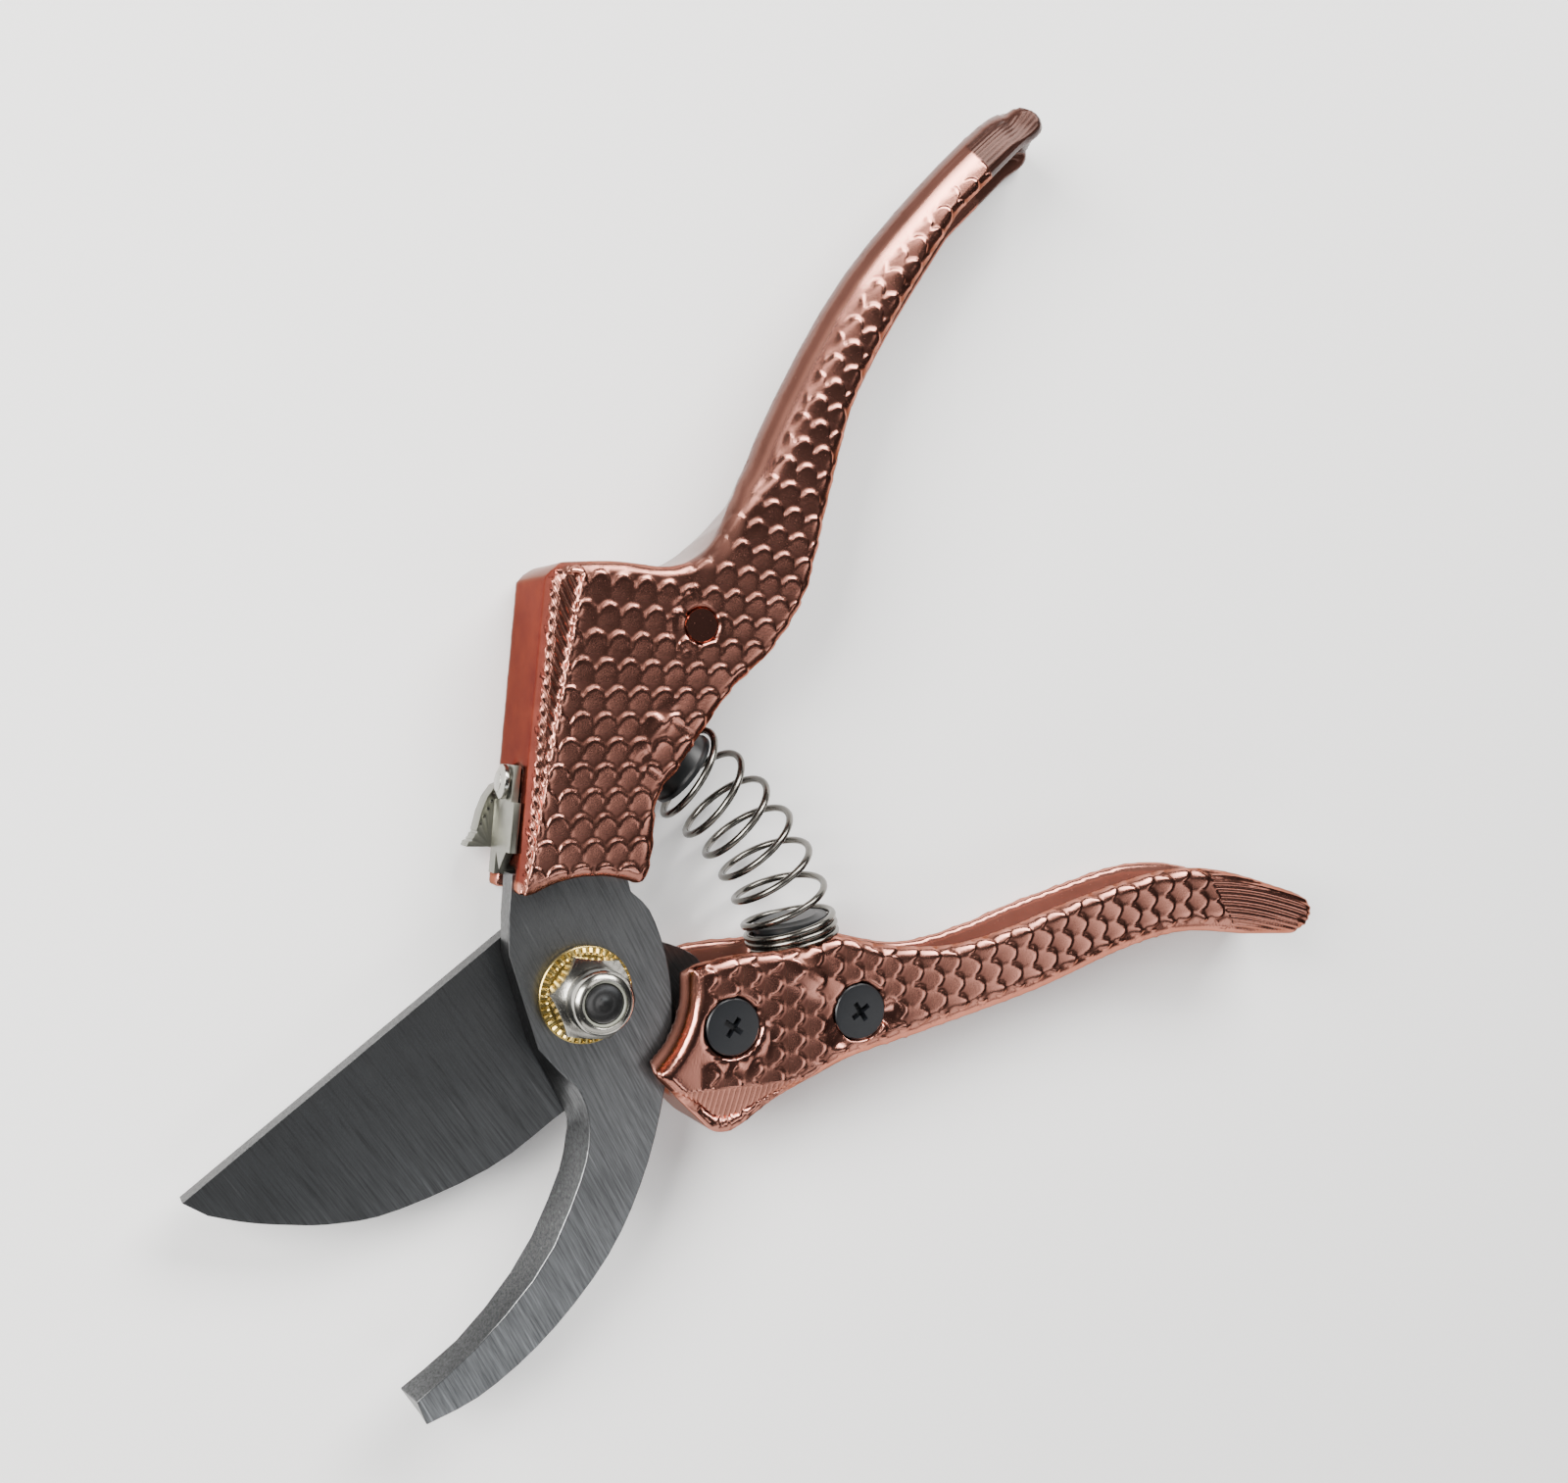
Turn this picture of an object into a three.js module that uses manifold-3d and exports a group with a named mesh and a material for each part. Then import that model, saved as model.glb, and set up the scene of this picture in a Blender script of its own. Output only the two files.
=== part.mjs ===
// Bypass pruning shears with channel handles, a bowed return spring and a sliding thumb catch.
// Millimetres, +Z up.  The shears lie on their back at z = 0.  The pivot's axis is Z through the
// origin, and the handles are open.  +X runs along the lower handle and +Y toward the upper one.
import * as THREE from 'three';
import { mergeGeometries, mergeVertices } from 'three/addons/utils/BufferGeometryUtils.js';
import Module from 'manifold-3d';

const wasm = await Module();
wasm.setup();

// ---- driving dimensions ----
const GAP = 0.3;                       // clearance between neighbouring pieces
const DEPTH = 19;                      // handle, from its back face to its front face
const WALL = 2.8;                      // front and back walls of the handle channel
const EDGE = 1.5;                      // rounding of the handle's outer edges
const MID = DEPTH / 2;                 // mid-plane of the handles and of the spring

const BLADE_Z = [6.0, 9.4];            // cutting blade, back and front faces
const HOOK_Z = [9.7, 14.0];            // hooked counter blade
const HEAD_R = 13.8;                   // round head of the blade about the pivot
const BLOCK_R = 18;                    // hollow end of the upper handle, round the nut
const NECK_R = 16.0;                   // hollow end of the lower handle, round the hook's head
const NECK_LIP = { bottomR: 14.8, topR: 16.8, outerR: 19.5, from: -49, to: 10 };

// Sideways moves of a handle's own outline that leave its channel and open its mouth.
const LOWER_ROOM = { channel: [1.2, 3.0], mouth: [-12, 6], hook: [0.8, -0.6] };
const UPPER_ROOM = { channel: [3.2, -2.4], mouth: [3.2, -14] };

const SHANK_R = 3.0;                   // M6 pivot bolt
const BUSH_R = 5.7;
const BOLT_HEAD = { acrossFlats: 11, height: 4.4 };
const NUT = { acrossFlats: 11.6, height: 4.4, collarR: 4.9, top: 23.6, turn: 23 };
const WASHER_R = 7.65;

const SCREWS = { front: [22.5, -6.2], rear: [44.6, -5.6] };
const SCREW = { headR: 4.4, headDrop: 0.4, coneHeight: 2.6, shankR: 2.5 };
const SCREW_NUT = { acrossFlats: 8, height: 3.4 };
const BOSS_R = 5.2;
const TANG_RIVET = { at: [17.3, 55.3], shankR: 2.0, headR: 2.4 };

const SEAT = { coreR: 5.9, lipR: 6.2, stemR: 3.0, stemLength: 4.5, core: 4.2, pocketR: 8.3 };
const LOWER_SEAT = { at: [36.3, 8.6], facing: [-0.2, 0.98] };
const UPPER_SEAT = { at: [18.1, 33.0], facing: [0.81, -0.586] };
const SPRING = { meanR: 7.2, wire: 1.15, turns: 9, bow: 14, closed: 0.3, closedPace: 0.28 };

const CATCH = { travel: 5, sheet: 1.1, foot: 2.4, rivetUp: 16.2, shankR: 1.5, headR: 2.6, z: 11.4 };
const LOCK_Z = [6.2, 9.1];             // tongue of the catch, in the blade's layer
// The tab's profile in distances up and out from the spine, and the bent sheet's point in z and up.
const CATCH_TAB_Z = [2.6, 6.2];
const CATCH_TAB = [
  [6.2, 0.3], [16, 0.3], [15.4, 1.5], [13.6, 2.6], [11.4, 3.3], [9, 3.7], [7.4, 4.1], [6.6, 4.9],
  [5.9, 5.1],
];
const CATCH_POINT = [[8.4, 6.5], [11.4, 3.2], [14.6, 6.5]];

const UPPER_LEAN = {
  along: 'y', across: 'x', from: 62, to: 80, fadeFrom: 500, fadeTo: 501, amount: 8.5,
};
const LOWER_LEAN = {
  along: 'x', across: 'y', from: 46, to: 62, fadeFrom: 92, fadeTo: 124, amount: -1.8,
};

// ---- outlines, seen from the front ----
const UPPER_LEFT = [[-11.2, 15.7], [-6.6, 62.2]];
const UPPER_BACK = [
  [-4.4, 64.3], [4, 64.7], [12.4, 64.1], [17.6, 66.2], [20.8, 71], [26.8, 86.3], [39.4, 108.5],
  [53.3, 125.3], [66.5, 138.4], [72, 141.2], [77.2, 141], [78.5, 138], [74.5, 134.8],
];
const UPPER_RIM = [
  [62.6, 123.1], [51.6, 106.6], [43.4, 91.4], [39.1, 76.7], [35.6, 61.3], [29.2, 51.4],
  [21.8, 44.6], [14.6, 34.3], [10.6, 29.6], [9.8, 22], [8.6, 16.9],
];
const LOWER_RIM = [
  [17.6, 3.9], [24, 4.9], [33, 5.1], [41.2, 6.7], [49.2, 4.7], [61.2, 3.9], [72.9, 6], [86.1, 10],
  [103.7, 14], [116.8, 13.7], [130.6, 10], [137.2, 7.6], [138.4, 4.4], [135.7, 0.8],
];
const LOWER_BACK = [
  [123.8, 1.5], [110.4, 2.9], [97.4, 0.8], [79, -5], [55.9, -10.4], [42.3, -13.7], [31, -18],
  [23.4, -22.6], [19.6, -22.4],
];
const HOOK_OUTER = [
  [-24.2, -61], [-15.6, -57.9], [-5.6, -50.7], [3.8, -40.2], [9.5, -28.9], [12.9, -16.5],
  [14.3, -4.9], [13.6, 3.5], [10.9, 11.5], [7.6, 15],
];
const HOOK_HEEL = [[-11.1, 18.6], [-11.6, 12.4], [-11.6, 6.6]];
const HOOK_INNER = {
  back: [
    [-7.4, -7.6], [-5.2, -11.8], [-3, -16], [-1.5, -19.4], [-1.7, -22.5], [-3.1, -28.3],
    [-8.7, -39.6], [-17.7, -50], [-27.1, -56.6],
  ],
  front: [
    [-7.2, -7.8], [-3.6, -11.7], [-0.8, -14.4], [0.6, -18.4], [0.7, -23.1], [-1, -29.2],
    [-6.3, -40], [-15.7, -50], [-25.6, -57.4],
  ],
};
const HOOK_TANG = [
  [5.6, 22], [4.6, 39], [11, 45], [21, 50.5], [21.5, 60.4], [-0.5, 60.4], [-2.2, 40], [-4.2, 24],
  [-6.6, 18.6],
];
const BLADE_TIP = [-57, -25.5];
const BLADE_EDGE = [
  [-53.6, -27.7], [-48.6, -29.3], [-43.2, -30.4], [-36.6, -31.2], [-27.8, -30.6], [-13.1, -25.8],
  [-1.7, -18.6], [8, -13],
];
const BLADE_TANG = [
  [19, -11.6], [44.6, -9.5], [48.6, -5.6], [44.6, -2.2], [27, -2.2], [19, 4.4], [12, 6.8],
];

// ---- helpers ----
const polar = (r, degrees) => {
  const a = THREE.MathUtils.degToRad(degrees);
  return [r * Math.cos(a), r * Math.sin(a)];
};
const vectors = (points) => points.map(([x, y]) => new THREE.Vector2(x, y));

// An outline from alternating straight runs and smooth stretches.
function outlineOf(...stretches) {
  const points = [];
  for (const { smooth, through } of stretches) {
    const curve = vectors(through);
    points.push(...(smooth ? new THREE.SplineCurve(curve).getPoints(curve.length * smooth) : curve));
  }
  const kept = points.filter((p, i) => p.distanceTo(points[(i + 1) % points.length]) > 0.05);
  return new THREE.Shape(kept);
}

// A round stretch about the pivot, from one bearing to another.
function arcPoints(r, from, to, steps) {
  return Array.from({ length: steps + 1 }, (_, i) => polar(r, from + (to - from) * i / steps));
}

function plate(shape, [bottom, top], edge = 0) {
  const geometry = new THREE.ExtrudeGeometry(shape, {
    depth: top - bottom - 2 * edge, steps: 1, bevelEnabled: edge > 0, bevelSegments: 2,
    bevelThickness: edge, bevelSize: edge, bevelOffset: -edge, curveSegments: 8,
  });
  return geometry.translate(0, 0, bottom + edge);
}

// A turned piece about Z from [radius, height] points.
function turned(profile, sides = 32) {
  return new THREE.LatheGeometry(vectors(profile), sides).rotateX(Math.PI / 2);
}

function rod(radius, [bottom, top], [x, y] = [0, 0], sides = 28) {
  return turned([[0, bottom], [radius, bottom], [radius, top], [0, top]], sides).translate(x, y, 0);
}

function ring(inner, outer, [bottom, top], sides = 36) {
  const profile = [[inner, bottom], [outer, bottom], [outer, top], [inner, top], [inner, bottom]];
  return turned(profile, sides);
}

function hexagon(acrossFlats, [bottom, top], [x, y] = [0, 0]) {
  return rod(acrossFlats / Math.sqrt(3), [bottom, top], [0, 0], 6).translate(x, y, 0);
}

function bar([x0, x1], [y0, y1], [z0, z1]) {
  return new THREE.BoxGeometry(x1 - x0, y1 - y0, z1 - z0)
    .translate((x0 + x1) / 2, (y0 + y1) / 2, (z0 + z1) / 2);
}

function solid(geometry) {
  const bare = geometry.clone();
  bare.deleteAttribute('normal');
  bare.deleteAttribute('uv');
  const merged = mergeVertices(bare, 1e-4);
  return new wasm.Manifold(new wasm.Mesh({
    numProp: 3,
    vertProperties: new Float32Array(merged.attributes.position.array),
    triVerts: new Uint32Array(merged.index.array),
  }));
}

function geometryOf(body) {
  const mesh = body.getMesh();
  const geometry = new THREE.BufferGeometry();
  geometry.setAttribute('position', new THREE.BufferAttribute(mesh.vertProperties, 3));
  geometry.setIndex(new THREE.BufferAttribute(mesh.triVerts, 1));
  geometry.computeVertexNormals();
  return geometry;
}

const join = (first, ...others) => others.reduce((body, g) => body.add(solid(g)), solid(first));
const cut = (body, ...others) => others.reduce((rest, g) => rest.subtract(solid(g)), body);

// Shears a grip sideways, more toward its back face: none before "from", all of it after "to".
function leaned(geometry, { along, across, from, to, fadeFrom, fadeTo, amount }) {
  const ramp = (v, a, b) => THREE.MathUtils.smoothstep(v, a, b);
  const position = geometry.attributes.position;
  for (let i = 0; i < position.count; i += 1) {
    const point = new THREE.Vector3().fromBufferAttribute(position, i);
    const s = point[along];
    point[across] += amount * ramp(s, from, to) * (1 - ramp(s, fadeFrom, fadeTo)) * (1 - point.z / DEPTH);
    position.setXYZ(i, point.x, point.y, point.z);
  }
  geometry.computeVertexNormals();
  return geometry;
}

// A plate whose outline changes from its bottom face to its top face: a ground bevel.
function groundPlate(bottomOutline, topOutline, [bottom, top]) {
  const from = bottomOutline.getPoints();
  const to = topOutline.getPoints();
  const geometry = plate(bottomOutline, [bottom, top]);
  const position = geometry.attributes.position;
  for (let i = 0; i < position.count; i += 1) {
    if (position.getZ(i) < top - 0.01) continue;
    const here = new THREE.Vector2(position.getX(i), position.getY(i));
    const k = from.findIndex((p) => p.distanceTo(here) < 1e-3);
    position.setXY(i, to[k].x, to[k].y);
  }
  return geometry;
}

// Turns a piece made along Z so that it stands at a point of the mid-plane, facing a direction.
function aimed(geometry, { at, facing }) {
  const turn = new THREE.Quaternion().setFromUnitVectors(
    new THREE.Vector3(0, 0, 1), new THREE.Vector3(...facing, 0).normalize());
  return geometry.applyQuaternion(turn).translate(...at, MID);
}

// ---- materials ----
const finish = (color, metalness, roughness) =>
  new THREE.MeshStandardMaterial({ color, metalness, roughness });
const COPPER = () => finish(0x8a4a38, 0.9, 0.35);
const STEEL = () => finish(0x4a4c4d, 0.9, 0.4);
const NICKEL = () => finish(0xb4b2aa, 0.9, 0.35);
const BRASS = () => finish(0xc2a64a, 0.9, 0.35);
const WIRE = () => finish(0x6a6a66, 0.9, 0.35);
const BLACK = () => finish(0x222325, 0.3, 0.5);
const NYLON = () => finish(0xd8d4c4, 0.0, 0.6);

const group = new THREE.Group();

function place(name, geometry, material) {
  const mesh = new THREE.Mesh(geometry, material);
  mesh.name = name;
  group.add(mesh);
}

// ---- lower handle: channel open toward the spring ----
const channelZ = [WALL, DEPTH - WALL];
const hookLayer = [HOOK_Z[0] - GAP, HOOK_Z[1] + GAP];

function movedShape(shape, [dx, dy]) {
  return new THREE.Shape(shape.getPoints().map((p) => new THREE.Vector2(p.x + dx, p.y + dy)));
}

const lowerShape = outlineOf(
  { through: arcPoints(NECK_R, -52, 12, 8) },
  { smooth: 3, through: LOWER_RIM },
  { smooth: 3, through: LOWER_BACK },
);

function seatPocket(seat) {
  return aimed(rod(SEAT.pocketR, [-SEAT.core - GAP, 30], [0, 0], 32), seat);
}

function seatBore(seat) {
  return aimed(rod(SEAT.stemR + GAP, [-SEAT.core - SEAT.stemLength - 1.6, 0], [0, 0], 20), seat);
}

function socketBridge({ at, facing }) {
  const along = new THREE.Vector2(...facing).normalize();
  const back = SEAT.core + GAP + SEAT.stemLength / 2 + 0.5;
  return new THREE.BoxGeometry(SEAT.stemLength + 1, 2 * SEAT.stemR + 4, channelZ[1] - channelZ[0] + 1)
    .rotateZ(along.angle()).translate(at[0] - along.x * back, at[1] - along.y * back, MID);
}

const screwBoss = (at, [bottom, top]) => rod(BOSS_R, [bottom, top], at);

function countersink(at) {
  const top = DEPTH - SCREW.headDrop;
  return turned([
    [0, top - SCREW.coneHeight - 8], [SCREW.shankR + GAP, top - SCREW.coneHeight - 8],
    [SCREW.shankR + GAP, top - SCREW.coneHeight - GAP], [SCREW.headR + GAP, top - GAP],
    [SCREW.headR + GAP, DEPTH + 1], [0, DEPTH + 1],
  ]).translate(...at, 0);
}

// The front wall's end bends down over the hook's head, on a cone about the pivot.
function neckLip() {
  const { bottomR, topR, outerR, from, to } = NECK_LIP;
  const sector = outlineOf(
    { through: arcPoints(bottomR, from, to, 10) }, { through: arcPoints(outerR, to, from, 10) });
  const cone = turned([[0, hookLayer[1] - 1], [bottomR, hookLayer[1]], [topR, DEPTH], [0, DEPTH]], 72);
  return cut(solid(plate(sector, [hookLayer[1], DEPTH - 0.5])), cone);
}

function lowerHandle() {
  const channel = plate(movedShape(lowerShape, LOWER_ROOM.channel), channelZ);
  const mouth = plate(movedShape(lowerShape, LOWER_ROOM.mouth), channelZ);
  const hookPath = plate(movedShape(hookShape(HOOK_INNER.front), LOWER_ROOM.hook), hookLayer);
  let body = cut(solid(plate(lowerShape, [0, DEPTH], EDGE)), channel, mouth, hookPath);
  for (const at of Object.values(SCREWS)) {
    body = body.add(solid(screwBoss(at, [1, BLADE_Z[0] - GAP])));
    body = body.add(solid(screwBoss(at, [BLADE_Z[1] + GAP, DEPTH - 1])));
  }
  body = body.add(neckLip()).add(solid(socketBridge(LOWER_SEAT)));
  body = cut(body, seatBore(LOWER_SEAT), seatPocket(LOWER_SEAT));
  for (const at of Object.values(SCREWS)) {
    body = cut(body, countersink(at), rod(SCREW.shankR + GAP, [-1, DEPTH - 4], at));
    body = cut(body, hexagon(SCREW_NUT.acrossFlats + 2 * GAP, [-1, SCREW_NUT.height + 2 * GAP], at));
  }
  return leaned(geometryOf(body), LOWER_LEAN);
}
place('lower_handle', lowerHandle(), COPPER());

// ---- cutting blade, held in the lower handle ----
const LUG = { from: 100, to: 110, r: 17.2 };        // stop that the thumb catch locks against
const SPINE_TANGENT = 126.7;

// The belly is ground from the back: there the outline stands off the cutting edge, toward the spine.
function bladeShape(ground) {
  const spineFoot = new THREE.Vector2(...polar(HEAD_R, SPINE_TANGENT));
  const tip = new THREE.Vector2(...BLADE_TIP);
  const spineWay = spineFoot.clone().sub(tip).normalize();
  const belly = vectors(BLADE_EDGE).map((p) => {
    const onSpineLine = tip.clone().addScaledVector(spineWay, p.clone().sub(tip).dot(spineWay));
    return p.lerp(onSpineLine, ground).toArray();
  });
  const head = [
    ...arcPoints(HEAD_R, 40, LUG.from - 4, 5), ...arcPoints(LUG.r, LUG.from, LUG.to, 2),
    ...arcPoints(HEAD_R, LUG.to + 4, SPINE_TANGENT, 2),
  ];
  return outlineOf(
    { through: head },
    { through: [BLADE_TIP] },
    { smooth: 3, through: belly },
    { smooth: 3, through: BLADE_TANG },
  );
}

function blade() {
  const body = solid(groundPlate(bladeShape(0.16), bladeShape(0), BLADE_Z));
  const bores = Object.values(SCREWS).map((at) => rod(SCREW.shankR + GAP, [0, DEPTH], at));
  return geometryOf(cut(body, rod(BUSH_R + GAP, [0, DEPTH], [0, 0], 36), ...bores));
}
place('blade', blade(), STEEL());

// ---- screws that hold the blade's tang, with their nuts ----
function crossSlot([x, y], top) {
  const arm = () => new THREE.BoxGeometry(4.6, 1.0, 3).translate(0, 0, top - 0.4);
  return [arm().rotateZ(0.7).translate(x, y, 0), arm().rotateZ(0.7 + Math.PI / 2).translate(x, y, 0)];
}

function handleScrew(at) {
  const top = DEPTH - SCREW.headDrop;
  const shape = turned([
    [0, 0.6], [SCREW.shankR, 0.6], [SCREW.shankR, top - SCREW.coneHeight],
    [SCREW.headR, top - 0.5], [SCREW.headR - 0.3, top], [0, top],
  ]).translate(...at, 0);
  return geometryOf(cut(solid(shape), ...crossSlot(at, top)));
}

function screwNut(at) {
  const nut = solid(hexagon(SCREW_NUT.acrossFlats, [GAP, SCREW_NUT.height], at));
  return geometryOf(cut(nut, rod(SCREW.shankR + GAP, [-1, 6], at)));
}

for (const [where, at] of Object.entries(SCREWS)) {
  place(`${where}_handle_screw`, handleScrew(at), BLACK());
  place(`${where}_screw_nut`, screwNut(at), BLACK());
}

// ---- pivot: bolt from the back, washers, bush and lock nut ----
function pivotBolt() {
  const head = hexagon(BOLT_HEAD.acrossFlats, [0, BOLT_HEAD.height]);
  return geometryOf(join(head, rod(SHANK_R, [1, NUT.top])));
}
place('pivot_bolt', pivotBolt(), STEEL());
place('back_washer', ring(SHANK_R + GAP, 9, [BOLT_HEAD.height + GAP, BLADE_Z[0] - GAP]), NICKEL());
place('pivot_bush', ring(SHANK_R + GAP, BUSH_R, [BLADE_Z[0], HOOK_Z[1]]), BRASS());

const washerZ = [HOOK_Z[1] + GAP, HOOK_Z[1] + GAP + 1.2];
const nutZ = [washerZ[1] + GAP, washerZ[1] + GAP + NUT.height];

function serratedWasher() {
  const teeth = 36;
  const rim = Array.from({ length: 2 * teeth }, (_, i) =>
    polar(WASHER_R - (i % 2) * 0.35, i * 180 / teeth));
  const disc = solid(plate(outlineOf({ through: rim }), washerZ));
  return geometryOf(cut(disc, rod(SHANK_R + GAP, [0, 30])));
}
place('serrated_washer', serratedWasher(), BRASS());

function lockNut() {
  const collar = turned([
    [0, nutZ[0] + 1], [NUT.collarR, nutZ[0] + 1], [NUT.collarR, NUT.top - 1], [NUT.collarR - 0.9, NUT.top],
    [0, NUT.top],
  ]);
  const hex = hexagon(NUT.acrossFlats, nutZ).rotateZ(THREE.MathUtils.degToRad(NUT.turn));
  const body = join(hex, collar);
  const bore = rod(SHANK_R + GAP, [0, 30]);
  const insertSeat = rod(SHANK_R + GAP + 0.45, [NUT.top - 2.2, 30]);
  return geometryOf(cut(body, bore, insertSeat));
}
place('pivot_lock_nut', lockNut(), NICKEL());
place('lock_nut_insert', ring(SHANK_R + 0.1, SHANK_R + 0.6, [NUT.top - 1.9, NUT.top - 0.4]), NYLON());

// ---- spring seats: plastic plugs whose stems stand in the handles ----
function springSeat(seat) {
  const { coreR, lipR, stemR, stemLength, core } = SEAT;
  return aimed(turned([
    [0, -core - stemLength], [stemR, -core - stemLength], [stemR, -core], [coreR, -core],
    [coreR, -1.1], [lipR, -0.8], [lipR, 0], [coreR - 1, 0.4], [0, 0.4],
  ]), seat);
}
place('lower_spring_seat', springSeat(LOWER_SEAT), BLACK());

// ---- return spring: a coil bowed from one seat to the other ----
function springAxis() {
  const facing = ({ facing: [x, y] }) => new THREE.Vector3(x, y, 0).normalize();
  const foot = (seat) => new THREE.Vector3(...seat.at, MID)
    .addScaledVector(facing(seat), -SEAT.core + SPRING.wire / 2 + 0.1);
  const [a, b] = [foot(LOWER_SEAT), foot(UPPER_SEAT)];
  return new THREE.CubicBezierCurve3(
    a, a.clone().addScaledVector(facing(LOWER_SEAT), SPRING.bow),
    b.clone().addScaledVector(facing(UPPER_SEAT), SPRING.bow), b);
}

// The coil starts with close turns at its lower end, and is evenly open from there on.
class Coil extends THREE.Curve {
  constructor(axis) {
    super();
    this.axis = axis;
  }

  getPoint(t, target = new THREE.Vector3()) {
    const { closed, closedPace } = SPRING;
    const openPace = (1 - closed * closedPace) / (1 - closed);
    const reach = t < closed ? t * closedPace : closed * closedPace + (t - closed) * openPace;
    const onAxis = this.axis.getPointAt(Math.min(reach, 1));
    const tangent = this.axis.getTangentAt(Math.min(reach, 1));
    const side = new THREE.Vector3(-tangent.y, tangent.x, 0);
    const angle = 2 * Math.PI * SPRING.turns * t;
    return target.copy(onAxis).addScaledVector(side, SPRING.meanR * Math.cos(angle))
      .add(new THREE.Vector3(0, 0, SPRING.meanR * Math.sin(angle)));
  }
}

function returnSpring() {
  const wire = new THREE.Shape(vectors(arcPoints(SPRING.wire / 2, 0, 300, 5)));
  return new THREE.ExtrudeGeometry(wire, {
    steps: SPRING.turns * 14, bevelEnabled: false, extrudePath: new Coil(springAxis()),
  });
}
place('return_spring', returnSpring(), WIRE());

// ---- upper handle: past the block, its grip is twisted so that the back wall leans out ----
const upperFrontShape = outlineOf(
  { through: UPPER_LEFT },
  { smooth: 3, through: UPPER_BACK },
  { smooth: 3, through: UPPER_RIM },
  { through: arcPoints(BLOCK_R, 66, 120, 8) },
);
const along = new THREE.Vector2(UPPER_LEFT[1][0] - UPPER_LEFT[0][0], UPPER_LEFT[1][1] - UPPER_LEFT[0][1])
  .normalize();
const spineAngle = along.angle();

// Point on the spine's outer face: distance up from the spine's foot, and distance outward.
function onSpine(up, out) {
  return [
    UPPER_LEFT[0][0] + along.x * up - along.y * out,
    UPPER_LEFT[0][1] + along.y * up + along.x * out,
  ];
}

// A box laid out in the spine's own directions: outward, up the spine, and Z.
function spineBar([outFrom, outTo], [upFrom, upTo], z) {
  const [x, y] = UPPER_LEFT[0];
  return bar([-outTo, -outFrom], [upFrom, upTo], z).rotateZ(spineAngle - Math.PI / 2).translate(x, y, 0);
}

// The catch's rivet and its tongue each run in a slot through the spine.
const slotR = CATCH.shankR + GAP;
const rivetSlot = {
  up: [CATCH.rivetUp - CATCH.travel - slotR - 0.2, CATCH.rivetUp + slotR + 0.2],
  z: [CATCH.z - slotR, CATCH.z + slotR],
};
const tongueSlot = { up: [-4, 6.4], z: [LOCK_Z[0] - GAP, LOCK_Z[1] + GAP] };
const heelSlot = { up: [-4, 3.6], z: hookLayer };
const webThickness = UPPER_ROOM.channel[0] * along.y - UPPER_ROOM.channel[1] * along.x;

function upperHandle() {
  const channel = plate(movedShape(upperFrontShape, UPPER_ROOM.channel), channelZ);
  const mouth = plate(movedShape(upperFrontShape, UPPER_ROOM.mouth), channelZ);
  let body = cut(solid(plate(upperFrontShape, [0, DEPTH], EDGE)), channel, mouth);
  body = body.add(solid(screwBoss(TANG_RIVET.at, [1, HOOK_Z[0] - GAP])));
  body = body.add(solid(screwBoss(TANG_RIVET.at, [HOOK_Z[1] + GAP, DEPTH - 1])));
  body = body.add(solid(socketBridge(UPPER_SEAT)));
  body = cut(body, seatBore(UPPER_SEAT), seatPocket(UPPER_SEAT));
  body = cut(body, rivetShape(GAP));
  for (const { up, z } of [rivetSlot, tongueSlot, heelSlot]) {
    body = cut(body, spineBar([-6, 6], up, z));
  }
  return leaned(geometryOf(body), UPPER_LEAN);
}

function rivetShape(extra) {
  const { at, shankR, headR } = TANG_RIVET;
  const [low, high] = [extra ? -1 : 0, extra ? DEPTH + 1 : DEPTH];
  return turned([
    [0, low], [headR + extra, low], [headR + extra, 1.2], [shankR + extra, 1.2],
    [shankR + extra, DEPTH - 1.2], [headR + extra, DEPTH - 1.2], [headR + extra, high], [0, high],
  ], 24).translate(...at, 0);
}
place('upper_handle', upperHandle(), COPPER());
place('upper_tang_rivet', rivetShape(0), COPPER());
place('upper_spring_seat', springSeat(UPPER_SEAT), BLACK());

// ---- hooked counter blade, held in the upper handle ----
function hookShape(inner) {
  return outlineOf(
    { through: HOOK_HEEL },
    { smooth: 2, through: inner },
    { smooth: 3, through: HOOK_OUTER },
    { through: HOOK_TANG },
  );
}

function hookBlade() {
  const body = cut(
    solid(groundPlate(hookShape(HOOK_INNER.back), hookShape(HOOK_INNER.front), HOOK_Z)),
    rod(BUSH_R + GAP, [0, DEPTH], [0, 0], 36),
    rod(TANG_RIVET.shankR + GAP, [0, DEPTH], TANG_RIVET.at));
  return geometryOf(body);
}
place('hook_blade', hookBlade(), STEEL());

// ---- thumb catch: slides down the spine to stop the blade's lug ----
function catchSlide() {
  const skin = [GAP, GAP + CATCH.sheet];
  const back = spineBar(skin, [6, 13.4], [3.4, 16]);
  const neck = spineBar(skin, [13, CATCH.rivetUp + 2.6], [CATCH.z - 3, CATCH.z + 3]);
  const tongue = spineBar(skin, [CATCH.foot, 6.5], LOCK_Z);
  const lug = spineBar([-3.2, skin[1]], [CATCH.foot, 6], LOCK_Z);
  const tab = plate(outlineOf({ through: CATCH_TAB.map(([up, out]) => onSpine(up, out)) }), CATCH_TAB_Z);
  const point = plate(outlineOf({ through: CATCH_POINT }), skin)
    .rotateY(-Math.PI / 2).rotateZ(spineAngle - Math.PI / 2).translate(...UPPER_LEFT[0], 0);
  const body = join(back, neck, tongue, lug, tab, point);
  return geometryOf(cut(body, spinePin([[CATCH.shankR + GAP, -6, 6]])));
}

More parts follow.
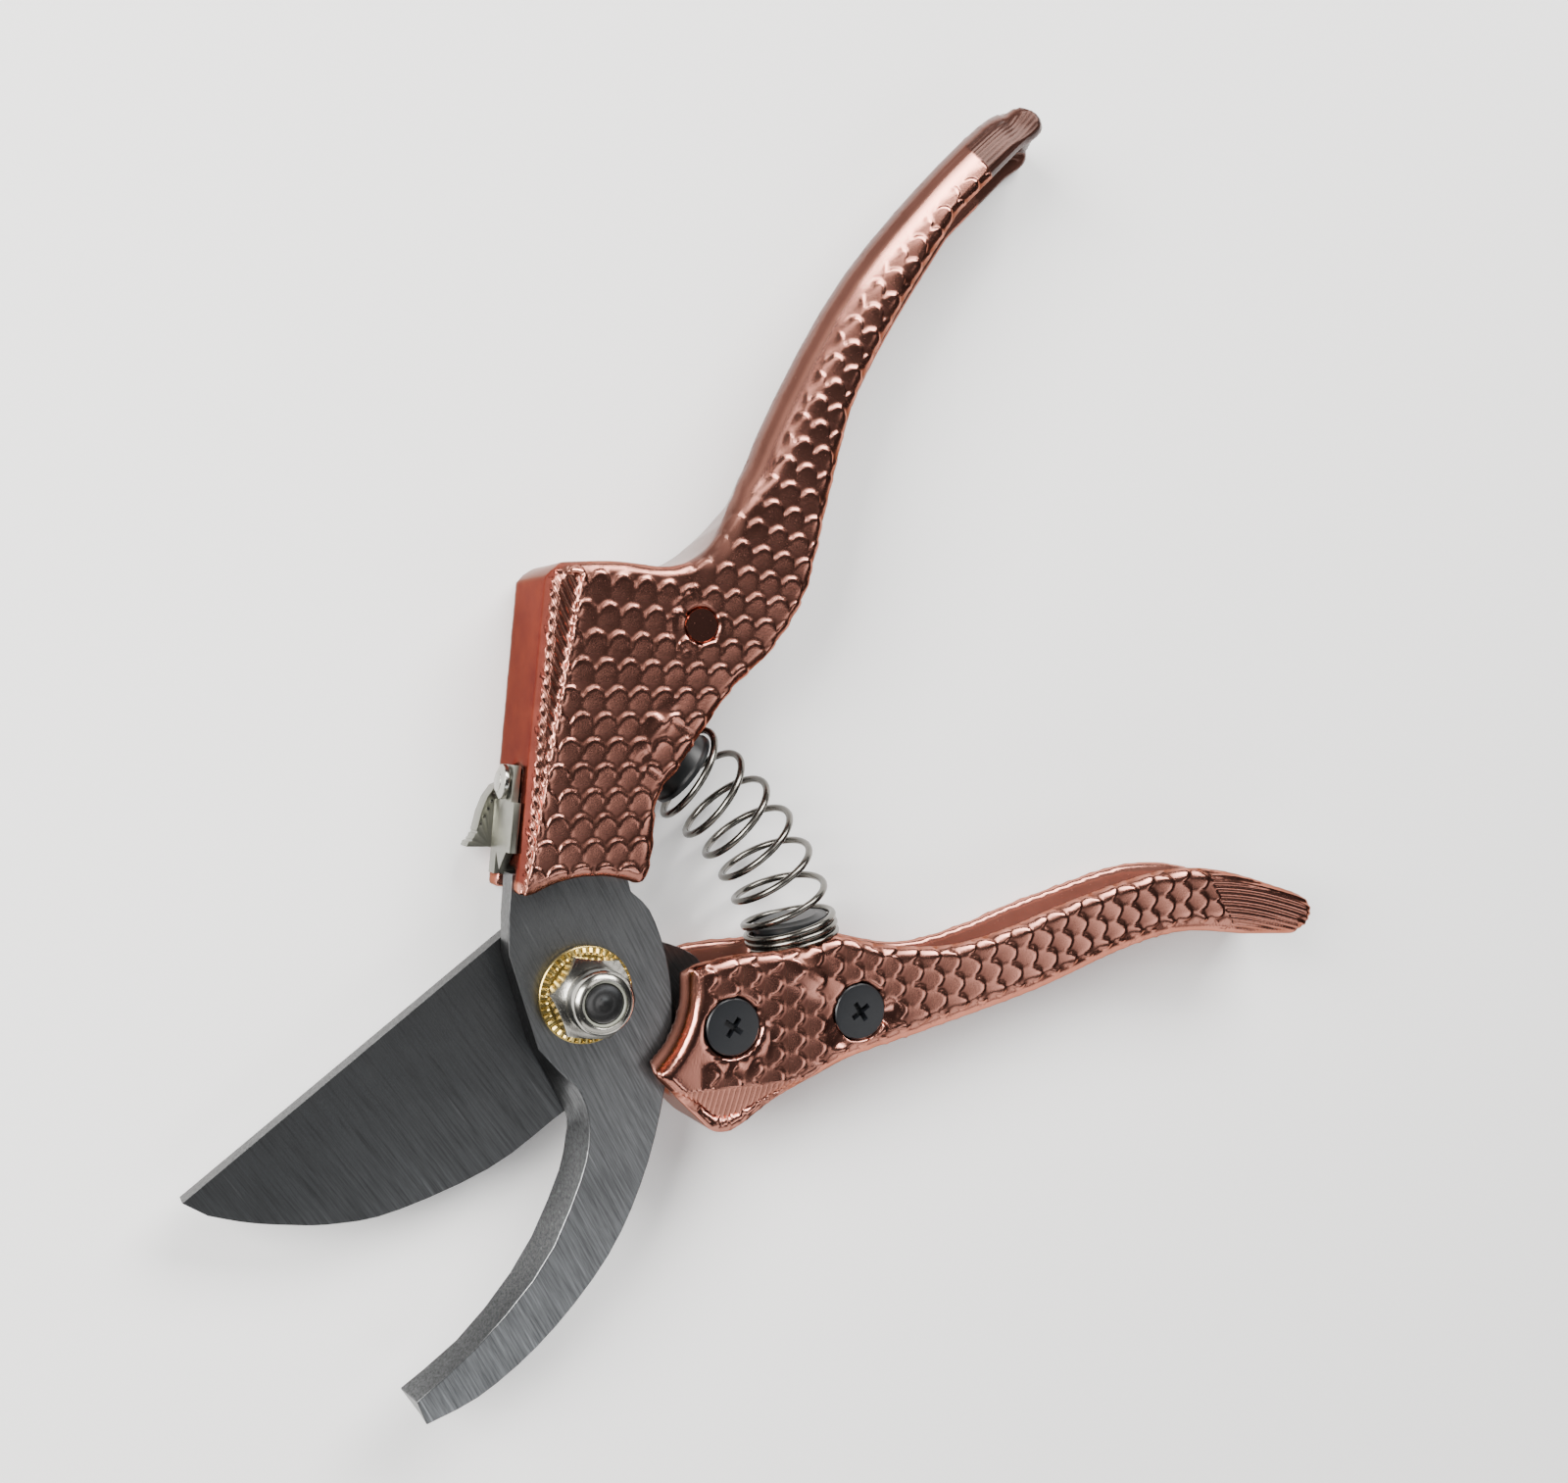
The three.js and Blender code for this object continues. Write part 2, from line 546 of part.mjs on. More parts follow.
// Stepped pin square to the spine, from [radius, start, end] lengths measured outward.
function spinePin(steps) {
  const profile = steps.flatMap(([r, start, end]) => [[r, start], [r, end]]);
  const [x, y] = onSpine(CATCH.rivetUp, 0);
  return turned([[0, profile[0][1]], ...profile, [0, profile.at(-1)[1]]], 20)
    .rotateY(Math.PI / 2).rotateZ(spineAngle + Math.PI / 2).translate(x, y, CATCH.z);
}

const catchInner = -webThickness - GAP;
const washer = [catchInner - 0.6, catchInner];
const rivetEnds = [washer[0] - GAP, GAP + CATCH.sheet + GAP];
place('catch_slide', catchSlide(), NICKEL());
place('catch_rivet', spinePin([
  [2.4, rivetEnds[0] - 0.8, rivetEnds[0]],
  [CATCH.shankR, rivetEnds[0], rivetEnds[1]],
  [CATCH.headR, rivetEnds[1], rivetEnds[1] + 0.7],
  [CATCH.headR - 1, rivetEnds[1] + 1.1, rivetEnds[1] + 1.2],
]), NICKEL());
place('catch_spring_washer', geometryOf(cut(
  solid(spineBar(washer, [CATCH.rivetUp - 4, CATCH.rivetUp + 4], [CATCH.z - 2.6, CATCH.z + 2.6])),
  spinePin([[CATCH.shankR + GAP, -8, 6]]),
)), NICKEL());

export default group;
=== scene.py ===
"""Bypass pruning shears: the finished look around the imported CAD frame.

Copper-plated channel handles carry a fish-scale relief. The blades are brushed steel, the return
spring bows from one handle to the other, and a nickel thumb catch rides on the upper handle.
"""
import math

import bmesh
import bpy
import numpy as np
from bpy.props import FloatProperty, FloatVectorProperty, IntProperty, PointerProperty
from mathutils import Matrix, Vector
from mathutils.kdtree import KDTree


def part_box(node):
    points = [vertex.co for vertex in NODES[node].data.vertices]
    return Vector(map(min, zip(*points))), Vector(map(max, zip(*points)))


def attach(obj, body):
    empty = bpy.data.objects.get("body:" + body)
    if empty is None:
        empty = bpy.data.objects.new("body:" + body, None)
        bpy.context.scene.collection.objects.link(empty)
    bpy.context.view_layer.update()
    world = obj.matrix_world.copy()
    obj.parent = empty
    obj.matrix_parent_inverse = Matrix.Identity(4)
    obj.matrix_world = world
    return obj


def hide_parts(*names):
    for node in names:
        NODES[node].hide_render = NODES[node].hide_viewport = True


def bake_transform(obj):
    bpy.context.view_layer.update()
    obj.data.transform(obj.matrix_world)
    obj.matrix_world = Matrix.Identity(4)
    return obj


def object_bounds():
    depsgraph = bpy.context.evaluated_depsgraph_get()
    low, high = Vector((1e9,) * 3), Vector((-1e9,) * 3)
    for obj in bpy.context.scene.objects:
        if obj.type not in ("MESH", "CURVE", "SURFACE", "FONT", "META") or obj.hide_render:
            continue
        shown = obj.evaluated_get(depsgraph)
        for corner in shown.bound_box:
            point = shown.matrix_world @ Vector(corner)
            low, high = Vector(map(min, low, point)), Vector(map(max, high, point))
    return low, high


bl_info = {
    "name": "Pruning Shears Looks",
    "version": (1, 0, 0),
    "blender": (4, 5, 0),
    "location": "View3D > Sidebar > Shears",
    "description": "Builds the finished surfaces of a pair of bypass pruning shears",
    "category": "Object",
}

MM = 0.001
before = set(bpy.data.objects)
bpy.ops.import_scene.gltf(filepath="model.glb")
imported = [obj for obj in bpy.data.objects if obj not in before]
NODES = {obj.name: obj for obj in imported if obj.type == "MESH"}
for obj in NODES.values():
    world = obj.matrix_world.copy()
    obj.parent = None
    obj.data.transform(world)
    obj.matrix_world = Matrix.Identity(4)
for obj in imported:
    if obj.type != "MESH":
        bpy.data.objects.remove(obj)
CAD_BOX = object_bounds()

# Heights and places in millimetres, as the CAD model has them.
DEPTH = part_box("lower_handle")[1].z / MM
MID = DEPTH / 2
LOWER, UPPER, CATCH = "lower_body", "upper_body", "catch"


# ---------------------------------------------------------------- settings
class HandleSettings(bpy.types.PropertyGroup):
    scale_row: FloatProperty(
        name="Scale row pitch", description="Distance between rows of scales, along the handle",
        default=3.67 * MM, unit="LENGTH")
    scale_column: FloatProperty(
        name="Scale column pitch", description="Distance between scales in one row",
        default=3.65 * MM, unit="LENGTH")
    scale_height: FloatProperty(
        name="Scale lip height", description="How far a scale's lip stands over the next scale",
        default=0.36 * MM, unit="LENGTH")
    voxel: FloatProperty(
        name="Surface grain", description="Voxel size of the cast surface before the relief",
        default=0.73 * MM, unit="LENGTH")
    copper: FloatVectorProperty(
        name="Copper", description="Colour of the copper plating",
        default=(0.64, 0.27, 0.205), subtype="COLOR")


class SteelSettings(bpy.types.PropertyGroup):
    edge: FloatProperty(
        name="Edge rounding", description="Rounding of the blades' edges",
        default=0.18 * MM, unit="LENGTH")
    steel: FloatVectorProperty(
        name="Steel", description="Colour of the ground steel",
        default=(0.2, 0.205, 0.21), subtype="COLOR")


class SpringSettings(bpy.types.PropertyGroup):
    wire: FloatProperty(
        name="Wire", description="Diameter of the spring's wire", default=1.15 * MM, unit="LENGTH")
    radius: FloatProperty(
        name="Coil radius", description="Radius of the coil at the wire's middle",
        default=7.2 * MM, unit="LENGTH")
    turns: IntProperty(name="Turns", description="Number of turns, closed ones included", default=9)


# ---------------------------------------------------------------- small helpers
def deselect():
    if bpy.context.object and bpy.context.object.mode != "OBJECT":
        bpy.ops.object.mode_set(mode="OBJECT")
    bpy.ops.object.select_all(action="DESELECT")


def activate(obj):
    deselect()
    obj.select_set(True)
    bpy.context.view_layer.objects.active = obj


def settle(obj, name):
    """Bakes the object's place into its mesh and names it."""
    activate(obj)
    bpy.ops.object.transform_apply(location=True, rotation=True, scale=True)
    obj.name = name
    obj.data.name = name
    return obj


def apply_modifier(obj, kind, **values):
    activate(obj)
    modifier = obj.modifiers.new(kind.title(), kind)
    for key, value in values.items():
        setattr(modifier, key, value)
    bpy.ops.object.modifier_apply(modifier=modifier.name)


def node_copy(node, name):
    """A merged copy of a CAD node's mesh, free to be worked on."""
    deselect()
    source = NODES[node]
    piece = bpy.data.objects.new(name, source.data.copy())
    bpy.context.collection.objects.link(piece)
    piece.data.materials.clear()
    activate(piece)
    bpy.ops.object.mode_set(mode="EDIT")
    bpy.ops.mesh.select_all(action="SELECT")
    bpy.ops.mesh.remove_doubles(threshold=2e-6)
    bpy.ops.object.mode_set(mode="OBJECT")
    return piece


def finish_piece(piece, body, slot, material, *nodes, angle=30):
    """Smooth shading, finish, body and the CAD nodes that the piece stands for."""
    activate(piece)
    bpy.ops.object.shade_smooth_by_angle(angle=math.radians(angle))
    piece.data.materials.clear()
    piece.data.materials.append(material)
    if body:
        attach(piece, body)
    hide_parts(*nodes)
    return piece


def frame_along(direction):
    return Vector((0, 0, 1)).rotation_difference(Vector(direction).normalized()).to_matrix().to_4x4()


def turned(name, profile, at=(0, 0, 0), direction=(0, 0, 1), sides=96):
    """A closed turned piece: a disc extruded and resized through [radius, height] steps, in mm."""
    deselect()
    (r0, z0), *steps = profile
    bpy.ops.mesh.primitive_circle_add(
        vertices=sides, radius=r0 * MM, fill_type="NGON", location=(0, 0, z0 * MM))
    piece = bpy.context.object
    bpy.ops.object.mode_set(mode="EDIT")
    bpy.ops.mesh.select_all(action="SELECT")
    radius, height = r0, z0
    for r, z in steps:
        bpy.ops.mesh.extrude_region_move(TRANSFORM_OT_translate={"value": (0, 0, (z - height) * MM)})
        factor = r / radius
        bpy.ops.transform.resize(
            value=(factor, factor, 1), center_override=(0, 0, z * MM))
        radius, height = r, z
    bpy.ops.mesh.select_all(action="SELECT")
    bpy.ops.mesh.normals_make_consistent(inside=False)
    bpy.ops.object.mode_set(mode="OBJECT")
    settle(piece, name)
    piece.data.transform(Matrix.Translation(Vector(at) * MM) @ frame_along(direction))
    return piece


def boolean(piece, tool, operation="DIFFERENCE"):
    apply_modifier(piece, "BOOLEAN", object=tool, operation=operation, solver="EXACT")
    bpy.data.objects.remove(tool)


def dissolve(piece):
    """Joins the flat faces of a CAD mesh."""
    apply_modifier(piece, "DECIMATE", decimate_type="DISSOLVE", angle_limit=math.radians(1))


def bevel(piece, width, segments, sharper_than):
    """Eases the edges that are sharper than an angle in degrees. The width is in metres."""
    apply_modifier(
        piece, "BEVEL", width=width, segments=segments, limit_method="ANGLE",
        angle_limit=math.radians(sharper_than))


def vertex_array(mesh):
    flat = np.empty(len(mesh.vertices) * 3, np.float32)
    mesh.vertices.foreach_get("co", flat)
    return flat.reshape(-1, 3).astype(float)


def normal_array(mesh):
    flat = np.empty(len(mesh.vertices) * 3, np.float32)
    mesh.vertices.foreach_get("normal", flat)
    return flat.reshape(-1, 3).astype(float)


def store(mesh, name, values):
    attribute = mesh.attributes.new(name, "FLOAT", "POINT")
    attribute.data.foreach_set("value", np.asarray(values, np.float32))


def smoothstep(values, low, high):
    t = np.clip((values - low) / (high - low), 0, 1)
    return t * t * (3 - 2 * t)


def wave(values, pitch):
    """Even ridges from 0 to 1."""
    return 0.5 + 0.5 * np.sin(values * 2 * math.pi / pitch)


# ---------------------------------------------------------------- shader groups
class Tree:
    """Adds nodes to a node tree and links them by socket name."""

    def __init__(self, tree):
        self.tree = tree

    def add(self, kind, **inputs):
        node = self.tree.nodes.new("ShaderNode" + kind)
        for key, value in inputs.items():
            key = key.replace("_", " ")
            if key in node.inputs:
                self.feed(value, node.inputs[key])
            else:
                setattr(node, key.replace(" ", "_"), value)
        return node

    def feed(self, value, socket):
        if isinstance(value, bpy.types.NodeSocket):
            self.tree.links.new(value, socket)
        elif isinstance(value, tuple) and len(value) == 3 and socket.type == "RGBA":
            socket.default_value = (*value, 1)
        else:
            socket.default_value = value

    def math(self, operation, a, b=0.0):
        node = self.tree.nodes.new("ShaderNodeMath")
        node.operation = operation
        self.feed(a, node.inputs[0])
        self.feed(b, node.inputs[1])
        return node.outputs[0]

    def scaled(self, value, amount):
        """A value times another, or times a number."""
        return self.math("MULTIPLY", value, amount)

    def attribute(self, name):
        """A value that the handles' vertices carry."""
        return self.add("Attribute", attribute_name=name).outputs["Fac"]

    def tinted(self, colour, tone):
        """A colour made brighter or darker by a tone."""
        node = self.tree.nodes.new("ShaderNodeVectorMath")
        node.operation = "SCALE"
        self.feed(tuple(colour), node.inputs[0])
        self.feed(tone, node.inputs["Scale"])
        return node.outputs[0]

    def bump(self, height, strength, distance):
        """A normal from a height. The distance is in mm."""
        return self.add("Bump", Height=height, Strength=strength, Distance=distance * MM).outputs[0]

    def mix(self, factor, a, b):
        node = self.tree.nodes.new("ShaderNodeMix")
        node.data_type = "RGBA"
        self.feed(factor, node.inputs[0])
        self.feed(a, node.inputs[6])
        self.feed(b, node.inputs[7])
        return node.outputs[2]

    def spread(self, value, low, high, to_low=0.0, to_high=1.0):
        node = self.tree.nodes.new("ShaderNodeMapRange")
        self.feed(value, node.inputs["Value"])
        ends = {"From Min": low, "From Max": high, "To Min": to_low, "To Max": to_high}
        for key, number in ends.items():
            self.feed(number, node.inputs[key])
        return node.outputs[0]

    def place(self, scale, turn=0.0):
        """Object coordinates in millimetres, turned about Z and stretched."""
        coordinates = self.add("TexCoord").outputs["Object"]
        turned_node = self.add("Mapping", Vector=coordinates, Rotation=(0, 0, turn))
        per_mm = tuple(s / MM for s in scale)
        return self.add("Mapping", Vector=turned_node.outputs[0], Scale=per_mm).outputs[0]


def new_group(name, inputs, outputs):
    group = bpy.data.node_groups.new(name, "ShaderNodeTree")
    for label, kind, default in inputs:
        socket = group.interface.new_socket(label, in_out="INPUT", socket_type=kind)
        socket.default_value = default
    for label, kind in outputs:
        group.interface.new_socket(label, in_out="OUTPUT", socket_type=kind)
    start = group.nodes.new("NodeGroupInput")
    end = group.nodes.new("NodeGroupOutput")
    return Tree(group), start.outputs, end.inputs


def blotch_group():
    """Slow change of tone over a surface, and fine specks on it."""
    tree, given, out = new_group(
        "Blotch", [("Size", "NodeSocketFloat", 6.0), ("Depth", "NodeSocketFloat", 0.2),
                   ("Vector", "NodeSocketVector", (0, 0, 0))],
        [("Tone", "NodeSocketFloat"), ("Specks", "NodeSocketFloat")])
    scale = tree.math("DIVIDE", 1.0, given["Size"])
    slow = tree.add("TexNoise", Vector=given["Vector"], Scale=scale, Detail=3.0, Roughness=0.55)
    half = tree.scaled(given["Depth"], 0.5)
    swing = tree.scaled(tree.math("SUBTRACT", slow.outputs[0], 0.5), given["Depth"])
    tone = tree.math("ADD", tree.math("SUBTRACT", 1.0, half), tree.scaled(swing, 2.0))
    fine = tree.add("TexNoise", Vector=given["Vector"], Scale=2.6, Detail=2.0, Roughness=0.6)
    tree.feed(tone, out["Tone"])
    tree.feed(tree.spread(fine.outputs[0], 0.66, 0.74), out["Specks"])
    return tree.tree


def grain_group():
    """Lines of a ground or brushed surface: long thin streaks, and a few deeper scratches."""
    tree, given, out = new_group(
        "Ground Grain", [("Vector", "NodeSocketVector", (0, 0, 0)), ("Fineness", "NodeSocketFloat", 4.0)],
        [("Streaks", "NodeSocketFloat"), ("Scratches", "NodeSocketFloat")])
    vector, fineness = given["Vector"], given["Fineness"]
    fine = tree.add("TexNoise", Vector=vector, Scale=fineness, Detail=4.0, Roughness=0.7)
    rare = tree.add(
        "TexNoise", Vector=vector, Scale=tree.scaled(fineness, 0.45), Detail=1.0, Roughness=0.5)
    tree.feed(fine.outputs[0], out["Streaks"])
    tree.feed(tree.spread(rare.outputs[0], 0.7, 0.76), out["Scratches"])
    return tree.tree


GROUPS = {}


def use_group(tree, name, **inputs):
    if name not in GROUPS:
        GROUPS[name] = {"Blotch": blotch_group, "Ground Grain": grain_group}[name]()
    node = tree.tree.nodes.new("ShaderNodeGroup")
    node.node_tree = GROUPS[name]
    for key, value in inputs.items():
        tree.feed(value, node.inputs[key.replace("_", " ")])
    return node.outputs


def new_material(name):
    material = bpy.data.materials.new(name)
    material.use_nodes = True
    material.node_tree.nodes.clear()
    tree = Tree(material.node_tree)
    shader = tree.add("BsdfPrincipled")
    output = tree.add("OutputMaterial")
    material.node_tree.links.new(shader.outputs[0], output.inputs["Surface"])
    return material, tree, shader.inputs


# ---------------------------------------------------------------- materials
# The spine's orange is a painted reflection of the bright floor in the flat copper spine.
SPINE_PAINTED_REFLECTION = (0.2, 0.048, 0.035)
COPPER_EDGE_TINT = (0.5, 0.36, 0.31, 1)


def copper_material():
    """Copper plate over a casting: painted shade in the hollows leaves the lips bright, and the spine
    carries a blotchy painted orange reflection.

    The handles' own attributes say where the painted shade of the hollows, the painted shade of the sides
    and the painted reflection lie."""
    copper = tuple(bpy.context.scene.shears_handle.copper)
    material, tree, shader = new_material("copper_plate")
    mm = tree.place((1, 1, 1))
    hollow_shade, painted_shade, painted_reflection = (tree.attribute(name) for name in ("hollow_shade", "painted_shade", "painted_reflection"))
    blotch = use_group(tree, "Blotch", Vector=mm, Size=7.0, Depth=0.22)
    smoke = use_group(tree, "Blotch", Vector=mm, Size=3.2, Depth=0.42)
    # painted shade: the hollows between scale lips, ribs and grooves are darkened
    shade = tree.math("SUBTRACT", blotch["Tone"], tree.scaled(hollow_shade, 0.6))
    # painted shade: the channel, the grip's back edge and the upper tip are darkened much further
    shade = tree.scaled(shade, tree.math("SUBTRACT", 1.0, tree.scaled(painted_shade, 0.92)))
    # painted reflection: the block's spine takes a blotchy orange in place of the floor reflected in it
    plate, spine = tree.tinted(copper, shade), tree.tinted(SPINE_PAINTED_REFLECTION, smoke["Tone"])
    tree.feed(tree.mix(painted_reflection, plate, spine), shader["Base Color"])
    shader["Specular Tint"].default_value = COPPER_EDGE_TINT
    # the painted shade and the painted reflection also take metal away, so they read as flat colour
    less_metal = tree.math("ADD", tree.scaled(painted_shade, 0.8), tree.scaled(painted_reflection, 0.12))
    tree.feed(tree.math("SUBTRACT", 1.0, less_metal), shader["Metallic"])
    rough = tree.math("ADD", 0.17, tree.scaled(hollow_shade, 0.14))
    tree.feed(tree.math("ADD", rough, tree.scaled(blotch["Specks"], 0.12)), shader["Roughness"])
    pits = tree.add("TexNoise", Vector=mm, Scale=3.4, Detail=5.0, Roughness=0.62)
    tree.feed(tree.bump(pits.outputs[0], 0.16, 0.08), shader["Normal"])
    return material


def steel_material(name, turn, fineness, tone, rough):
    """Ground tool steel: streaks along one direction, a few scratches, and painted shade on the side
    faces.
    """
    steel = tuple(c * tone for c in bpy.context.scene.shears_steel.steel)
    material, tree, shader = new_material(name)
    along = tree.place((0.045, 1.0, 1.0), math.radians(turn))
    grain = use_group(tree, "Ground Grain", Vector=along, Fineness=fineness)
    blotch = use_group(tree, "Blotch", Vector=tree.place((1, 1, 1)), Size=16.0, Depth=0.25)
    streaks, scratches = grain["Streaks"], grain["Scratches"]
    bright = tree.scaled(blotch["Tone"], tree.spread(streaks, 0.32, 0.68, 0.62, 1.42))
    bright = tree.math("ADD", bright, tree.scaled(scratches, 0.35))
    # painted shade: faces that stand upright are darkened to less than half
    normal = tree.add("SeparateXYZ", Vector=tree.add("NewGeometry").outputs["Normal"])
    flatness = tree.math("ABSOLUTE", normal.outputs["Z"])
    bright = tree.scaled(bright, tree.spread(flatness, 0.2, 0.7, 0.42, 1.0))
    tree.feed(tree.tinted(steel, bright), shader["Base Color"])
    shader["Metallic"].default_value = 1.0
    tree.feed(tree.spread(streaks, 0.3, 0.7, rough + 0.08, rough - 0.06), shader["Roughness"])
    height = tree.math("SUBTRACT", streaks, tree.scaled(scratches, 0.5))
    tree.feed(tree.bump(height, 0.3, 0.03), shader["Normal"])
    return material


def hardware_material(name, colour, rough, metallic):
    """Small hardware: an even plated or moulded finish with handling marks."""
    material, tree, shader = new_material(name)
    mm = tree.place((1, 1, 1))
    blotch = use_group(tree, "Blotch", Vector=mm, Size=2.4, Depth=0.2)
    tree.feed(tree.tinted(colour, blotch["Tone"]), shader["Base Color"])
    shader["Metallic"].default_value = metallic
    roughness = tree.math("ADD", rough, tree.scaled(blotch["Specks"], 0.15))
    tree.feed(roughness, shader["Roughness"])
    skin = tree.add("TexNoise", Vector=mm, Scale=2.2, Detail=3.0, Roughness=0.6)
    tree.feed(tree.bump(skin.outputs[0], 0.14, 0.05), shader["Normal"])
    return material


# Ground steels: the grain's turn in degrees and its fineness, then tone and roughness.
STEELS = {
    "blade_steel": (55, 2.4, 0.56, 0.36),
    "hook_steel": (-118, 2.8, 1.0, 0.34),
}
# Small hardware: colour, roughness and metallic.
HARDWARE = {
    "bolt_end": ((0.1, 0.1, 0.1), 0.3, 1),
    "nickel": ((0.44, 0.43, 0.39), 0.2, 1),
    "catch_plate": ((0.27, 0.27, 0.23), 0.34, 1),
    "yellow_zinc": ((0.6, 0.45, 0.15), 0.26, 1),
    "spring_wire": ((0.2, 0.19, 0.17), 0.24, 1),
    "black_oxide": ((0.006, 0.007, 0.009), 0.36, 0),
    "black_plastic": ((0.004, 0.005, 0.006), 0.42, 0),
    "nylon": ((0.3, 0.31, 0.26), 0.4, 0),
}
MATERIALS = {}


def finish_of(name):
    """The material of that name, made when it is first asked for."""
    if name not in MATERIALS:
        if name == "copper_plate":
            MATERIALS[name] = copper_material()
        elif name in STEELS:
            MATERIALS[name] = steel_material(name, *STEELS[name])
        else:
            MATERIALS[name] = hardware_material(name, *HARDWARE[name])
    return MATERIALS[name]


# ---------------------------------------------------------------- handles
# Guide lines run up each handle; the scales' rows stand square to them. Millimetres.
UPPER_GUIDE = [
    (25.5, -20.37), (25.5, 40), (26, 55), (27.3, 66), (30.4, 77), (34.9, 90), (39.5, 100),
    (44.6, 108.5), (50.5, 117), (57.3, 125), (73, 139.5),
]
LOWER_GUIDE = [
    (-2, -6.2), (30, -5.5), (46, -4.8), (58, -3.2), (70, -0.6), (84, 3.4), (98, 7.2), (110, 8.6),
    (122, 7.9), (134, 4.9), (144, 1.2),
]
# The grips lean as they do in the CAD model: the axis they run along, where the lean rises and where
# it fades again, and how far the back wall is shifted.
UPPER_LEAN = {"along": 1, "rise": (62, 80), "fade": (500, 501), "amount": 8.5}
LOWER_LEAN = {"along": 0, "rise": (46, 62), "fade": (92, 124), "amount": -1.8}
# The upper handle's block ends at the first Y, and its grip is fully rounded from the second.
GRIP_FROM, GRIP_FULL = 64, 84
# Where the ribbed tips start: along the upper guide line, and in X on the lower handle.
UPPER_TIP_FROM, LOWER_TIP_FROM = 164.2, 117.4
BACK_STRIP = 2.4                        # width of the back strip: the painted reflection lies inside it, the channel's painted shade outside it
HEEL_TOP = -15.3                        # the lower handle's heel is grooved below this Y
# The spine of the upper handle, seen from the front: its foot, its direction, and outward from it.
SPINE_FOOT = Vector((-11.2, 15.7))
SPINE_WAY = (Vector((-6.6, 62.2)) - SPINE_FOOT).normalized()
SPINE_OUT = Vector((-SPINE_WAY.y, SPINE_WAY.x))
BAND_END = 47                           # length of the hatched band up the spine


def guide_coordinates(points, guide, spacing=0.4):
    """Distance along a guide line, distance to its left and the way left, for each point."""
    line = np.array(guide, float)
    for _ in range(3):
        inner = np.empty((2 * len(line) - 2, 2))
        inner[0::2] = 0.75 * line[:-1] + 0.25 * line[1:]
        inner[1::2] = 0.25 * line[:-1] + 0.75 * line[1:]
        line = np.vstack([line[:1], inner, line[-1:]])
    steps = np.linalg.norm(np.diff(line, axis=0), axis=1)
    reach = np.concatenate([[0], np.cumsum(steps)])
    marks = np.arange(0, reach[-1], spacing)
    fine = np.stack([np.interp(marks, reach, line[:, k]) for k in (0, 1)], axis=1)
    nearest = nearest_of(fine, points)[0]
    way = np.gradient(fine, axis=0)
    way = (way / np.linalg.norm(way, axis=1)[:, None])[nearest]
    offset = points - fine[nearest]
    s = marks[nearest] + (offset * way).sum(axis=1)
    left = np.stack([-way[:, 1], way[:, 0]], axis=1)
    return s, (offset * left).sum(axis=1), left


def nearest_of(targets, points):
    """Index of the nearest target and its distance, for each point of the plane."""
    tree = KDTree(len(targets))
    for i, (x, y) in enumerate(targets):
        tree.insert((x, y, 0), i)
    tree.balance()
    found = [tree.find((x, y, 0)) for x, y in points]
    return np.array([f[1] for f in found]), np.array([f[2] for f in found])


def scale_relief(s, t, row, column):
    """Overlapping fish scales: rising from a scale's root to its rounded lip, then a step down."""
    height = np.zeros_like(s)
    done = np.zeros(len(s), bool)
    first = np.floor(s / row).astype(int)
    for ahead in range(3):
        k = first + ahead
        across = t / column + np.where(k % 2 == 0, 0.0, 0.5)
        across -= np.round(across)
        lip = k * row - 0.6 * row * (1 - np.sqrt(np.clip(1 - (across / 0.5) ** 2, 0, 1)))
        inside = (s <= lip) & ~done
        rise = np.clip(1 - (lip - s) / (1.2 * row), 0, 1)
        roll = 1 - 0.55 * np.clip(1 - (lip - s) / (0.24 * row), 0, 1) ** 2
        dome = np.cos(across * math.pi)
        height[inside] = (roll * (0.8 * rise ** 1.4 + 0.4 * dome * rise))[inside]
        done |= inside
    return height


def refine(piece, chosen):
    """Subdivides the faces that a test picks from their centres in mm and their normals."""
    activate(piece)
    bpy.ops.object.mode_set(mode="EDIT")
    bpy.ops.mesh.select_mode(type="FACE")
    bpy.ops.mesh.select_all(action="DESELECT")
    mesh = bmesh.from_edit_mesh(piece.data)
    for face in mesh.faces:
        face.select_set(bool(chosen(face.calc_center_median() / MM, face.normal)))
    bmesh.update_edit_mesh(piece.data)
    bpy.ops.mesh.subdivide(number_cuts=1)
    bpy.ops.object.mode_set(mode="OBJECT")


def outer_face(centre, normal):
    """True for the faces of the front and the back, which carry the relief."""
    return abs(normal.z) > 0.5 and abs(centre.z - MID) > MID - 1.3


def lean_shift(flat, z, along, rise, fade, amount):
    """How far the CAD grip leans sideways at each point, in mm."""
    s = flat[:, along]
    shift = np.zeros_like(flat)
    shift[:, 1 - along] = amount * (
        smoothstep(s, *rise) * (1 - smoothstep(s, *fade)) * (1 - z / DEPTH))
    return shift


def round_back(points, flat, away, normals, roundness):
    """Rounds the two long corners of a handle's back, and returns the distance from the back.

    away tells how far each normal faces to the back; roundness is a quarter ellipse for each
    point: its reach over the face, and its reach down the side."""
    z = points[:, 2]
    edge = (np.abs(normals[:, 2]) < 0.6) & (np.abs(z - MID) < 1.0) & (away > 0.3)
    nearest, distance = nearest_of(flat[edge], flat)
    inward = -normals[edge][nearest][:, :2]
    inward /= np.linalg.norm(inward, axis=1)[:, None]
    reach, drop = roundness
    deep = MID - np.abs(z - MID)
    a = np.clip((reach - distance) / reach, 0, 1)
    b = np.clip((drop - deep) / drop, 0, 1)
    excess = np.maximum(np.hypot(a, b), 1)
    points[:, :2] += inward * (reach * (a - a / excess))[:, None]
    points[:, 2] += np.sign(MID - z) * drop * (b - b / excess)
    return distance


